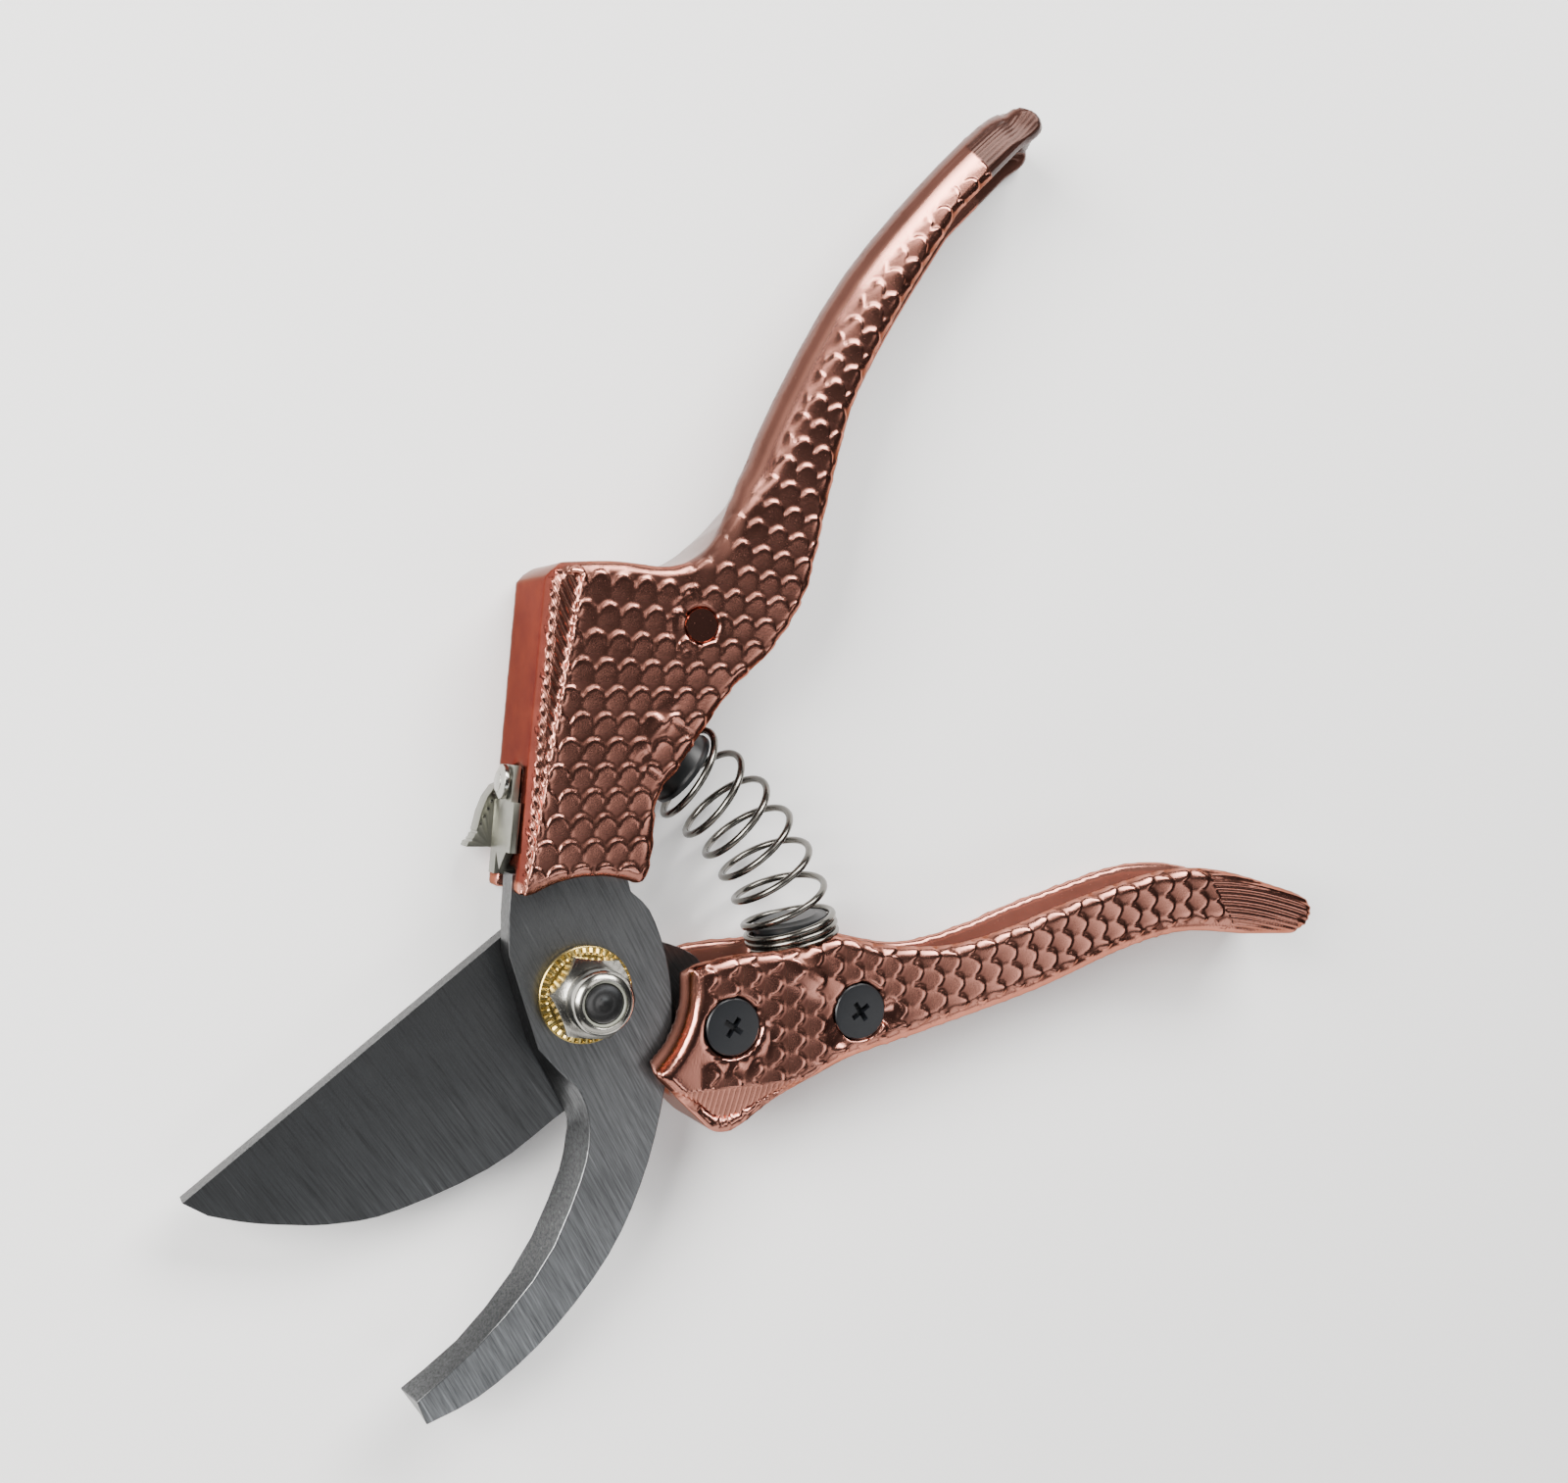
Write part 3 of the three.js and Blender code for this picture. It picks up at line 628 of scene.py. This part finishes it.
def build_handle(node, guide, side, lean, roundness, pattern, side_painted_light, fine_faces):
    """Remeshes a CAD handle into an even cast skin, rounds its back and raises the relief.

    side is 1 where the back lies left of the guide line, and -1 where it lies right of it."""
    settings = bpy.context.scene.shears_handle
    piece = node_copy(node, node + "_cast")
    apply_modifier(piece, "REMESH", mode="VOXEL", voxel_size=settings.voxel)
    apply_modifier(piece, "SMOOTH", factor=0.5, iterations=3)
    refine(piece, outer_face)
    refine(piece, lambda c, n: outer_face(c, n) and fine_faces(c))
    mesh = piece.data
    points, normals = vertex_array(mesh) / MM, normal_array(mesh)
    z = points[:, 2].copy()
    deep = MID - np.abs(z - MID)
    flat = points[:, :2] - lean_shift(points[:, :2], z, **lean)
    s, t, left = guide_coordinates(flat, guide)
    away = np.where(t * side > 2, (normals[:, :2] * left).sum(axis=1) * side, 0)
    edge = round_back(points, flat, away, normals, roundness(flat))
    write_vertices(mesh, points)
    rise, hollow_shade = pattern(flat, s, t, edge, settings)
    skin = 1 - smoothstep(deep, 1.2, 2.0)
    points += normal_array(mesh) * (rise * skin)[:, None]
    write_vertices(mesh, points)
    # painted shade in the hollows, then painted reflection and painted shade on the sides, stored for the
    # copper
    store(mesh, "hollow_shade", hollow_shade * skin)
    painted_reflection, painted_shade = side_painted_light(flat, s, deep, edge)
    store(mesh, "painted_reflection", painted_reflection)
    store(mesh, "painted_shade", painted_shade)
    return piece


def write_vertices(mesh, points):
    mesh.vertices.foreach_set("co", (points * MM).astype(np.float32).ravel())
    mesh.update()


def lump(x, y, at, way, wide, long):
    """A rounded ridge raised at a place, along a way."""
    along = (x - at[0]) * way[0] + (y - at[1]) * way[1]
    across = (x - at[0]) * way[1] - (y - at[1]) * way[0]
    return np.exp(-(across / wide) ** 2 - (along / long) ** 2)


def upper_roundness(flat):
    """Reach and drop of the back's rounding: a sharp block, then a full grip."""
    grip = smoothstep(flat[:, 1], GRIP_FROM, GRIP_FULL)
    return 0.8 + 8.2 * grip, 0.8 + 5.2 * grip


def upper_sides(flat, s, deep, edge):
    """The block's spine carries a painted orange reflection; the grip's back edge, its channel and the
    tip carry painted shade.
    """
    grip = smoothstep(flat[:, 1], GRIP_FROM - 1, GRIP_FROM + 2)
    # the block's back strip carries the painted reflection
    back = (edge < BACK_STRIP) * smoothstep(deep, 0.3, 1.0)
    channel = smoothstep(deep, 2, 4) * (edge > BACK_STRIP)
    # painted shade on the channel's inside and along the grip's back edge
    painted_shade = np.maximum(channel, 0.9 * (1 - smoothstep(edge, 0.8, 4.0)))
    tip = smoothstep(s, UPPER_TIP_FROM, UPPER_TIP_FROM + 0.6)
    # the tip gets painted shade as well
    return back * (1 - grip), np.maximum(painted_shade * grip, 0.9 * tip)


def upper_pattern(flat, s, t, edge, settings):
    """Scales on the block and the grip, a hatched band up the block's spine, a ribbed tip."""
    height = settings.scale_height / MM
    x, y = flat[:, 0], flat[:, 1]
    relief = scale_relief(s, t, settings.scale_row / MM, settings.scale_column / MM)
    grip = smoothstep(y, GRIP_FROM, GRIP_FULL)
    tip = smoothstep(s, UPPER_TIP_FROM, UPPER_TIP_FROM + 0.6)
    ribs = wave(t + 0.25, 1.0)

    # the band widens up the spine, between a beaded rope and a beaded rail
    up = (x - SPINE_FOOT.x) * SPINE_WAY.x + (y - SPINE_FOOT.y) * SPINE_WAY.y
    inward = -(x - SPINE_FOOT.x) * SPINE_OUT.x - (y - SPINE_FOOT.y) * SPINE_OUT.y
    width = 0.85 + 0.088 * np.clip(up, 0, 50)
    band = 1 - smoothstep(inward, width - 0.3, width)
    band *= 1 - smoothstep(up, BAND_END + 0.2, BAND_END + 0.8)
    hatch = wave(up * 0.62 + inward, 1.3)
    rope = np.exp(-((inward - width) / 0.5) ** 2) * (1 - smoothstep(up, BAND_END, BAND_END + 1))
    rope *= 0.2 + 0.8 * wave(up, 2.2)
    rail = np.exp(-((inward - 0.5) / 0.45) ** 2) * (up < BAND_END + 1) * (1 - grip)
    rail *= 0.2 + 0.8 * wave(up, 1.9)

    # the grip's rounded back has no scales
    keep = 1 - smoothstep(y, 66, 80) * (1 - smoothstep(edge, 4.0, 6.5))
    keep = keep * (1 - band) * (1 - tip)
    rise = height * (relief * keep - 0.5) + tip * 0.05 * ribs
    rise += band * (0.28 * hatch - 0.45) + 0.3 * rope + 0.26 * rail
    rise += 0.45 * lump(x, y, (10.4, 40.2), (0.62, 0.78), 1.2, 3.2)
    # painted shade: the scale bodies, the band's furrows and the whole tip are darkened
    hollow_shade = (1 - relief) * keep + 0.9 * band * (1 - hatch) + tip * (1 - 0.3 * ribs)
    return rise, np.clip(hollow_shade, 0, 1)


def upper_fine(c):
    """The tip and the hatched band need smaller faces than the scales."""
    return c.y > 122 or (c.y < 64 and c.x < -1.0 + 0.1 * (c.y - 62))


def lower_roundness(flat):
    """Reach and drop of the back's rounding, which grows from the neck to the grip."""
    grip = smoothstep(flat[:, 0], 30, 44)
    return 0.8 + 2.9 * grip, 0.8 + 2.6 * grip


def lower_sides(flat, s, deep, edge):
    """The channel's inside carries painted shade; there is no painted reflection."""
    return np.zeros(len(flat)), smoothstep(deep, 2, 4) * (edge > BACK_STRIP)


def lower_pattern(flat, s, t, edge, settings):
    """Scales along the grip, a smooth rounded back, a ribbed tip and a grooved heel."""
    height, row = settings.scale_height / MM, settings.scale_row / MM
    x, y = flat[:, 0], flat[:, 1]
    relief = scale_relief(s, t, row, settings.scale_column / MM)
    tip = smoothstep(x + 0.62 * (y - 7), LOWER_TIP_FROM, LOWER_TIP_FROM + 0.5)
    ribs = wave(t + 0.275, 1.1)
    below = HEEL_TOP - y
    heel = smoothstep(below, 0, 0.3) * smoothstep(x, 11, 13) * (1 - smoothstep(x, 34, 37))
    grooves = wave(x - 0.1 * y + 0.225, 0.9)
    neck = 1 - smoothstep(x, 17.0, 18.6)

    # the scales end raggedly where the back rounds off
    fade = 1 + wave(s, row)
    keep = smoothstep(edge, fade, fade + 1.0) * (1 - tip) * (1 - heel) * (1 - neck)
    rise = height * (relief * keep - 0.5) + tip * 0.17 * ribs
    rise += heel * (0.16 * grooves - 0.42 * np.clip(below, 0, 9))
    rise += 0.7 * lump(x, y, (35.4, 1.0), (0.82, -0.57), 2.2, 4.2)
    # painted shade: the scale bodies, the gaps between the tip's ribs and the heel's grooves are darkened
    hollow_shade = (1 - relief) * keep + 0.4 * tip * (1 - ribs) + 0.6 * heel * (1 - grooves)
    return rise, np.clip(hollow_shade, 0, 1)


def lower_fine(c):
    """The tip and the heel need smaller faces than the scales."""
    return c.x > 115 or (c.y < -15 and c.x < 38)


def centre_of(node):
    low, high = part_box(node)
    return ((low.x + high.x) / 2 / MM, (low.y + high.y) / 2 / MM)


class SHEARS_OT_handles(bpy.types.Operator):
    """Cast both copper handles with their scale relief, and the rivet through the upper one"""
    bl_idname = "shears.handles"
    bl_label = "Handles"

    def execute(self, context):
        copper = finish_of("copper_plate")
        upper = build_handle(
            "upper_handle", UPPER_GUIDE, 1, UPPER_LEAN, upper_roundness, upper_pattern, upper_sides,
            upper_fine)
        finish_piece(upper, UPPER, "copper_plate", copper, "upper_handle", angle=180)
        lower = build_handle(
            "lower_handle", LOWER_GUIDE, -1, LOWER_LEAN, lower_roundness, lower_pattern, lower_sides,
            lower_fine)
        finish_piece(lower, LOWER, "copper_plate", copper, "lower_handle", angle=180)
        rivet = turned("upper_tang_rivet_head", [
            (2.5, 0.15), (2.6, 0.3), (2.6, 1.2), (2.0, 1.3), (2.0, DEPTH - 1.3), (2.6, DEPTH - 1.2),
            (2.6, DEPTH - 0.3), (2.5, DEPTH - 0.16), (0.6, DEPTH - 0.16),
        ], (*centre_of("upper_tang_rivet"), 0))
        finish_piece(rivet, UPPER, "copper_plate", copper, "upper_tang_rivet")
        return {"FINISHED"}


# ---------------------------------------------------------------- blades
class SHEARS_OT_blades(bpy.types.Operator):
    """Ease the edges of the cutting blade and the hook, and give both their ground finish"""
    bl_idname = "shears.blades"
    bl_label = "Blades"

    def execute(self, context):
        edge = context.scene.shears_steel.edge
        for node, body, finish in (("blade", LOWER, "blade_steel"), ("hook_blade", UPPER, "hook_steel")):
            piece = node_copy(node, node + "_ground")
            dissolve(piece)
            bevel(piece, edge, 2, 28)
            finish_piece(piece, body, "blade_steel", finish_of(finish), node, angle=25)
            apply_modifier(piece, "WEIGHTED_NORMAL", keep_sharp=True, weight=100)
        return {"FINISHED"}


# ---------------------------------------------------------------- spring and seats
SEATS = {
    "lower_spring_seat": {"at": (36.3, 8.6, MID), "facing": (-0.2, 0.98, 0), "body": LOWER},
    "upper_spring_seat": {"at": (18.1, 33.0, MID), "facing": (0.81, -0.586, 0), "body": UPPER},
}
SEAT_CORE = 4.2                         # length of a seat's core inside the coil
SPRING_FOOT = 0.675                     # the wire's middle over the core's foot
SPRING_BOW = 14
# The closed turns at the lower seat: their share of the turns, and of the way along the coil.
CLOSED_TURNS, CLOSED_WAY = 0.3, 0.084


def spring_axis(samples=400):
    """Middle line of the bowed coil, from the lower seat to the upper one, in mm."""
    ends = []
    for seat in SEATS.values():
        facing = Vector(seat["facing"]).normalized()
        foot = Vector(seat["at"]) - facing * (SEAT_CORE - SPRING_FOOT)
        ends.append((foot, foot + facing * SPRING_BOW))
    (a, b), (d, c) = ends
    u = np.linspace(0, 1, samples)[:, None]
    points = ((1 - u) ** 3 * np.array(a) + 3 * (1 - u) ** 2 * u * np.array(b)
              + 3 * (1 - u) * u ** 2 * np.array(c) + u ** 3 * np.array(d))
    steps = np.linalg.norm(np.diff(points, axis=0), axis=1)
    return points, np.concatenate([[0], np.cumsum(steps)]) / steps.sum()


class SHEARS_OT_spring(bpy.types.Operator):
    """Wind the return spring: closed turns at the lower end, open turns along a bowed middle line"""
    bl_idname = "shears.spring"
    bl_label = "Return spring"

    def execute(self, context):
        settings = context.scene.shears_spring
        axis, reach = spring_axis()
        count = settings.turns * 40
        u = np.linspace(0, 1, count)
        along = np.interp(u, [0, CLOSED_TURNS, 1], [0, CLOSED_WAY, 1])
        middle = np.stack([np.interp(along, reach, axis[:, k]) for k in range(3)], axis=1)
        way = np.stack([np.interp(along, reach, np.gradient(axis[:, k])) for k in range(3)], axis=1)
        way /= np.linalg.norm(way, axis=1)[:, None]
        side = np.stack([-way[:, 1], way[:, 0], np.zeros(count)], axis=1)
        angle = 2 * math.pi * settings.turns * u
        radius = settings.radius / MM
        path = middle + radius * np.cos(angle)[:, None] * side
        path[:, 2] += radius * np.sin(angle)
        curve = bpy.data.curves.new("return_spring_wire", "CURVE")
        curve.dimensions = "3D"
        curve.bevel_depth = settings.wire / 2
        curve.bevel_resolution = 5
        curve.use_fill_caps = True
        spline = curve.splines.new("POLY")
        spline.points.add(count - 1)
        for point, (x, y, z) in zip(spline.points, path * MM):
            point.co = (x, y, z, 1)
        wire = bpy.data.objects.new("return_spring_wire", curve)
        context.collection.objects.link(wire)
        activate(wire)
        bpy.ops.object.convert(target="MESH")
        wire = context.object
        finish_piece(wire, None, "spring_wire", finish_of("spring_wire"), "return_spring", angle=50)
        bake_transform(wire)
        return {"FINISHED"}


class SHEARS_OT_seats(bpy.types.Operator):
    """Turn the two moulded plugs that hold the spring's ends"""
    bl_idname = "shears.seats"
    bl_label = "Spring seats"

    def execute(self, context):
        for node, seat in SEATS.items():
            piece = turned(node + "_plug", [
                (2.8, -8.7), (3.0, -8.5), (3.0, -4.4), (3.2, -4.2), (5.7, -4.2), (5.9, -4.0),
                (5.9, -1.2), (6.0, -1.0), (6.2, -0.75), (6.2, -0.15), (6.05, 0.0), (5.0, 0.15),
                (4.6, 0.4), (1.0, 0.4),
            ], seat["at"], seat["facing"])
            finish_piece(piece, seat["body"], "black_plastic", finish_of("black_plastic"), node)
        return {"FINISHED"}


# ---------------------------------------------------------------- pivot hardware
BOLT_R = 3.0
BORE_R = BOLT_R + 0.3
BOLT_FLATS, BOLT_HEAD = 11, 4.4
NUT_FLATS, NUT_TURN = 11.6, math.radians(23)
SCREW_NUT_FLATS, SCREW_NUT_BORE_R = 8, 2.8


def prism(name, across, bottom, top, turn=0.0):
    """A plain hexagonal prism, by its width across flats."""
    deselect()
    bpy.ops.mesh.primitive_cylinder_add(
        vertices=6, radius=across / math.sqrt(3) * MM, depth=(top - bottom) * MM,
        location=(0, 0, (top + bottom) / 2 * MM), rotation=(0, 0, turn))
    return settle(bpy.context.object, name)


def bore(piece, radius, low, high):
    """Drills a piece along Z, past the two heights."""
    boolean(piece, turned("tool", [(radius, low - 1), (radius, high + 1)]))


def hexagon(name, across, bottom, top):
    """A hexagonal prism whose corners are cut back to a cone at both faces, as on a turned nut."""
    corner = across / math.sqrt(3)
    piece = prism(name, across, bottom, top)
    face_r = across / 2 * 0.97
    slope = (corner - face_r) * 0.62
    boolean(piece, turned("tool", [
        (face_r, bottom - 0.01), (corner + 0.1, bottom + slope), (corner + 0.1, top - slope),
        (face_r, top + 0.01),
    ]), "INTERSECT")
    return piece


class SHEARS_OT_pivot(bpy.types.Operator):
    """Make the pivot bolt, its washers, the bush, the lock nut and the nut's ring"""
    bl_idname = "shears.pivot"
    bl_label = "Pivot hardware"

    def execute(self, context):
        self.bolt()
        self.nut()
        self.serrated_washer()
        self.rings()
        return {"FINISHED"}

    def bolt(self):
        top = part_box("pivot_bolt")[1].z / MM
        head = hexagon("pivot_bolt_turned", BOLT_FLATS, 0, BOLT_HEAD)
        shank = turned("tool", [
            (BOLT_R, 1.0), (BOLT_R, top - 0.6), (BOLT_R - 0.2, top - 0.36), (2.7, top - 0.4),
            (1.6, top - 0.62), (1.5, top - 0.6), (0.7, top - 0.8), (0.3, top - 0.86),
        ])
        boolean(head, shank, "UNION")
        finish_piece(head, LOWER, "blade_steel", finish_of("bolt_end"), "pivot_bolt")

    def nut(self):
        """A nut that turns into a domed collar, with the ring that locks it set in the collar."""
        low, high = (corner.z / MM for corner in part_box("pivot_lock_nut"))
        corner = NUT_FLATS / math.sqrt(3)
        nut = prism("pivot_lock_nut_body", NUT_FLATS, low, high, NUT_TURN)
        boolean(nut, turned("tool", [
            (5.6, low - 0.01), (corner + 0.1, low + 0.5), (corner + 0.1, low + 2.3), (5.75, low + 3.7),
            (5.1, low + 4.35), (4.95, low + 4.5), (4.9, high - 1.5), (4.75, high - 0.9),
            (4.35, high - 0.4), (3.9, high - 0.12), (3.6, high - 0.02), (3.45, high - 0.1),
        ]), "INTERSECT")
        boolean(nut, turned("tool", [
            (BORE_R, low - 1), (BORE_R, high - 2.2), (3.75, high - 2.2), (3.75, high - 0.7),
            (3.42, high - 0.4), (3.42, high + 1),
        ]))
        finish_piece(nut, LOWER, "nickel", finish_of("nickel"), "pivot_lock_nut")
        insert = turned("lock_nut_insert_ring", [
            (3.6, high - 1.9), (3.6, high - 0.75), (3.4, high - 0.45), (3.2, high - 0.4),
            (3.1, high - 0.5),
        ])
        bore(insert, BOLT_R + 0.06, high - 2, high)
        finish_piece(insert, LOWER, "nylon", finish_of("nylon"), "lock_nut_insert")

    def serrated_washer(self):
        """A washer with a smooth rim, and radial teeth pressed into its top near the rim."""
        low, high = (corner.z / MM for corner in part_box("serrated_washer"))
        teeth = 40
        washer = turned("serrated_washer_disc", [
            (7.2, low), (7.35, low + 0.15), (7.35, high - 0.4), (7.22, high - 0.3),
            (7.1, high - 0.26), (6.9, high - 0.2), (6.4, high - 0.1), (6.1, high), (5.0, high),
        ], sides=teeth * 6)
        for vertex in washer.data.vertices:
            radius = math.hypot(vertex.co.x, vertex.co.y) / MM
            if vertex.co.z > (high - 0.35) * MM and 6.3 < radius < 7.15:
                bearing = math.atan2(vertex.co.y, vertex.co.x)
                vertex.co.z -= 0.34 * MM * (0.5 - 0.5 * math.cos(bearing * teeth)) ** 2
        bore(washer, BORE_R, low, high)
        finish_piece(
            washer, LOWER, "yellow_zinc", finish_of("yellow_zinc"), "serrated_washer", angle=20)

    def rings(self):
        """The washer under the bolt's head, and the bush that the hook blade turns on."""
        for node, wide, finish in (("back_washer", 9.0, "nickel"), ("pivot_bush", 5.7, "yellow_zinc")):
            low, high = (corner.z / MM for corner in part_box(node))
            ring = turned(node + "_ring", [
                (wide - 0.15, low), (wide, low + 0.15), (wide, high - 0.15), (wide - 0.15, high),
            ])
            bore(ring, BORE_R, low, high)
            finish_piece(ring, LOWER, finish, finish_of(finish), node)


# ---------------------------------------------------------------- screws
def cross_recess(at, top, turn):
    """Four tapering arms of a cross-head recess, as one cutting tool."""
    arms = []
    for quarter in range(2):
        deselect()
        bpy.ops.mesh.primitive_cube_add(size=MM)
        arm = bpy.context.object
        arm.scale = (4.7, 0.95, 3.0)
        bpy.ops.object.transform_apply(scale=True)
        for vertex in arm.data.vertices:
            if vertex.co.z < 0:
                vertex.co.x *= 0.45
                vertex.co.y *= 0.75
        arm.rotation_euler.z = turn + quarter * math.pi / 2
        arm.location = Vector((*at, top)) * MM
        arms.append(settle(arm, "tool"))
    return arms


class SHEARS_OT_screws(bpy.types.Operator):
    """Make the two black countersunk screws of the blade's tang, and their nuts"""
    bl_idname = "shears.screws"
    bl_label = "Handle screws"

    def execute(self, context):
        for where, turn in (("front", 0.95), ("rear", 0.6)):
            at = centre_of(where + "_handle_screw")
            top = DEPTH - 0.35
            screw = turned(where + "_screw_head", [
                (2.3, 0.6), (2.5, 0.9), (2.5, top - 2.6), (4.35, top - 0.55), (4.45, top - 0.4),
                (4.45, top - 0.22), (4.25, top - 0.06), (3.6, top), (0.5, top + 0.03),
            ], (*at, 0))
            for arm in cross_recess(at, top, turn):
                boolean(screw, arm)
            finish_piece(
                screw, LOWER, "black_oxide", finish_of("black_oxide"), where + "_handle_screw")
            low, high = (corner.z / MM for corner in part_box(where + "_screw_nut"))
            nut = hexagon(where + "_nut_body", SCREW_NUT_FLATS, low, high)
            bore(nut, SCREW_NUT_BORE_R, low, high)
            nut.data.transform(Matrix.Translation(Vector((*at, 0)) * MM))
            finish_piece(nut, LOWER, "black_oxide", finish_of("black_oxide"), where + "_screw_nut")
        return {"FINISHED"}


# ---------------------------------------------------------------- thumb catch
def on_spine(up, out, z):
    """A point on the upper handle's spine: up it, out from it, and its height, in mm."""
    flat = SPINE_FOOT + SPINE_WAY * up + SPINE_OUT * out
    return Vector((flat.x, flat.y, z))


class SHEARS_OT_catch(bpy.types.Operator):
    """Make the stamped thumb catch with its ridged tab, its rivet and its inner washer"""
    bl_idname = "shears.catch"
    bl_label = "Thumb catch"

    def execute(self, context):
        catch = node_copy("catch_slide", "catch_slide_stamping")
        dissolve(catch)
        for i in range(7):
            up = 7.0 + i * 1.2
            out = 5.2 - 4.3 * ((up - 6.2) / 9.4) ** 0.75       # the tab's outline at that place
            groove = turned("tool", [(0.24, 1.5), (0.24, 7.5)], sides=16)
            groove.data.transform(Matrix.Translation(on_spine(up, out + 0.06, 0) * MM))
            boolean(catch, groove)
        bevel(catch, 0.14 * MM, 2, 32)
        finish_piece(catch, CATCH, "nickel", finish_of("catch_plate"), "catch_slide")
        rivet = node_copy("catch_rivet", "catch_rivet_head")
        dissolve(rivet)
        bevel(rivet, 0.12 * MM, 3, 32)
        finish_piece(rivet, CATCH, "nickel", finish_of("nickel"), "catch_rivet")
        NODES["catch_spring_washer"].data.materials.clear()
        NODES["catch_spring_washer"].data.materials.append(finish_of("nickel"))
        return {"FINISHED"}


# ---------------------------------------------------------------- stage
# The camera stands over the shears' left side and looks down to the right, with +Y up.
CAMERA_AT = Vector((-83.6, 46.1, 257.0))
CAMERA_TARGET = Vector((33.3, 37.4, 14.0))
CAMERA_LENS = 39.26
WORLD_COLOUR, WORLD_STRENGTH = (0.9, 0.93, 1.0, 1), 0.04
LIGHTS_AIM = Vector((0.035, 0.04, 0.01))
SOFT_WHITE = (1.0, 0.98, 0.96)
# Name, place in metres, width and height, power and colour. Those named over_ shine straight down.
LIGHTS = (
    ("left_soft", (-0.62, 0.22, 0.5), (0.5, 0.45), 16, (1.0, 0.98, 0.95)),
    ("near_low", (0.12, -0.8, 0.34), (1.4, 0.5), 3, SOFT_WHITE),
    ("back_soft", (0.3, 0.68, 0.58), (0.7, 0.35), 14, SOFT_WHITE),
    ("over_left", (0.03, 0.42, 0.8), (0.36, 0.2), 0.8, (1.0, 0.97, 0.95)),
    ("over_hook", (0.18, -0.44, 0.7), (0.35, 0.25), 0.8, (0.95, 0.98, 1.0)),
    ("over_grip", (0.6, -0.22, 0.7), (0.56, 0.28), 1.1, (1.0, 0.98, 0.97)),
)


class SHEARS_OT_stage(bpy.types.Operator):
    """Lay the pale floor, hang the soft lights and set the camera"""
    bl_idname = "shears.stage"
    bl_label = "Stage"

    def execute(self, context):
        self.floor()
        self.lights()
        self.camera()
        return {"FINISHED"}

    def floor(self):
        deselect()
        bpy.ops.mesh.primitive_plane_add(size=6, location=(0, 0, CAD_BOX[0].z))
        floor = settle(bpy.context.object, "floor")
        material, _, shader = new_material("pale_floor")
        shader["Base Color"].default_value = (0.93, 0.93, 0.93, 1)
        shader["Roughness"].default_value = 0.9
        shader["Emission Color"].default_value = (1, 1, 1, 1)
        shader["Emission Strength"].default_value = 0.2
        floor.data.materials.append(material)

    def lights(self):
        world = bpy.data.worlds.new("studio")
        world.use_nodes = True
        background = world.node_tree.nodes["Background"].inputs
        background["Color"].default_value = WORLD_COLOUR
        background["Strength"].default_value = WORLD_STRENGTH
        bpy.context.scene.world = world
        for name, at, size, energy, colour in LIGHTS:
            data = bpy.data.lights.new(name, "AREA")
            data.shape = "RECTANGLE"
            data.size, data.size_y = size
            data.energy = energy
            data.color = colour
            lamp = bpy.data.objects.new(name, data)
            bpy.context.collection.objects.link(lamp)
            lamp.location = at
            aim = Vector(at[:2]).to_3d() if name.startswith("over_") else LIGHTS_AIM
            lamp.rotation_euler = (aim - Vector(at)).to_track_quat("-Z", "Y").to_euler()

    def camera(self):
        data = bpy.data.cameras.new("camera")
        data.sensor_width = 36
        data.lens = CAMERA_LENS
        camera = bpy.data.objects.new("camera", data)
        bpy.context.collection.objects.link(camera)
        back = (CAMERA_AT - CAMERA_TARGET).normalized()
        right = Vector((0, 1, 0)).cross(back).normalized()
        place = Matrix((right, back.cross(right), back)).transposed().to_4x4()
        place.translation = CAMERA_AT * MM
        camera.matrix_world = place
        bpy.context.scene.camera = camera


# ---------------------------------------------------------------- panel and running order
STEPS = (
    SHEARS_OT_stage, SHEARS_OT_handles, SHEARS_OT_blades, SHEARS_OT_seats, SHEARS_OT_spring,
    SHEARS_OT_pivot, SHEARS_OT_screws, SHEARS_OT_catch,
)


class SHEARS_PT_panel(bpy.types.Panel):
    """Lists the pieces of the shears in the sidebar"""
    bl_label = "Shears"
    bl_idname = "SHEARS_PT_panel"
    bl_space_type = "VIEW_3D"
    bl_region_type = "UI"
    bl_category = "Shears"

    def draw(self, context):
        for step in STEPS:
            self.layout.operator(step.bl_idname)
        for settings in (
                context.scene.shears_handle, context.scene.shears_steel, context.scene.shears_spring):
            for name in settings.__annotations__:
                self.layout.prop(settings, name)


CLASSES = (HandleSettings, SteelSettings, SpringSettings, *STEPS, SHEARS_PT_panel)
SETTINGS = {
    "shears_handle": HandleSettings, "shears_steel": SteelSettings, "shears_spring": SpringSettings,
}


def register():
    for item in CLASSES:
        bpy.utils.register_class(item)
    for name, group in SETTINGS.items():
        setattr(bpy.types.Scene, name, PointerProperty(type=group))


def unregister():
    for name in SETTINGS:
        delattr(bpy.types.Scene, name)
    for item in reversed(CLASSES):
        bpy.utils.unregister_class(item)


def main():
    register()
    for step in STEPS:
        group, name = step.bl_idname.split(".")
        getattr(getattr(bpy.ops, group), name)()


if __name__ == "__main__":
    main()
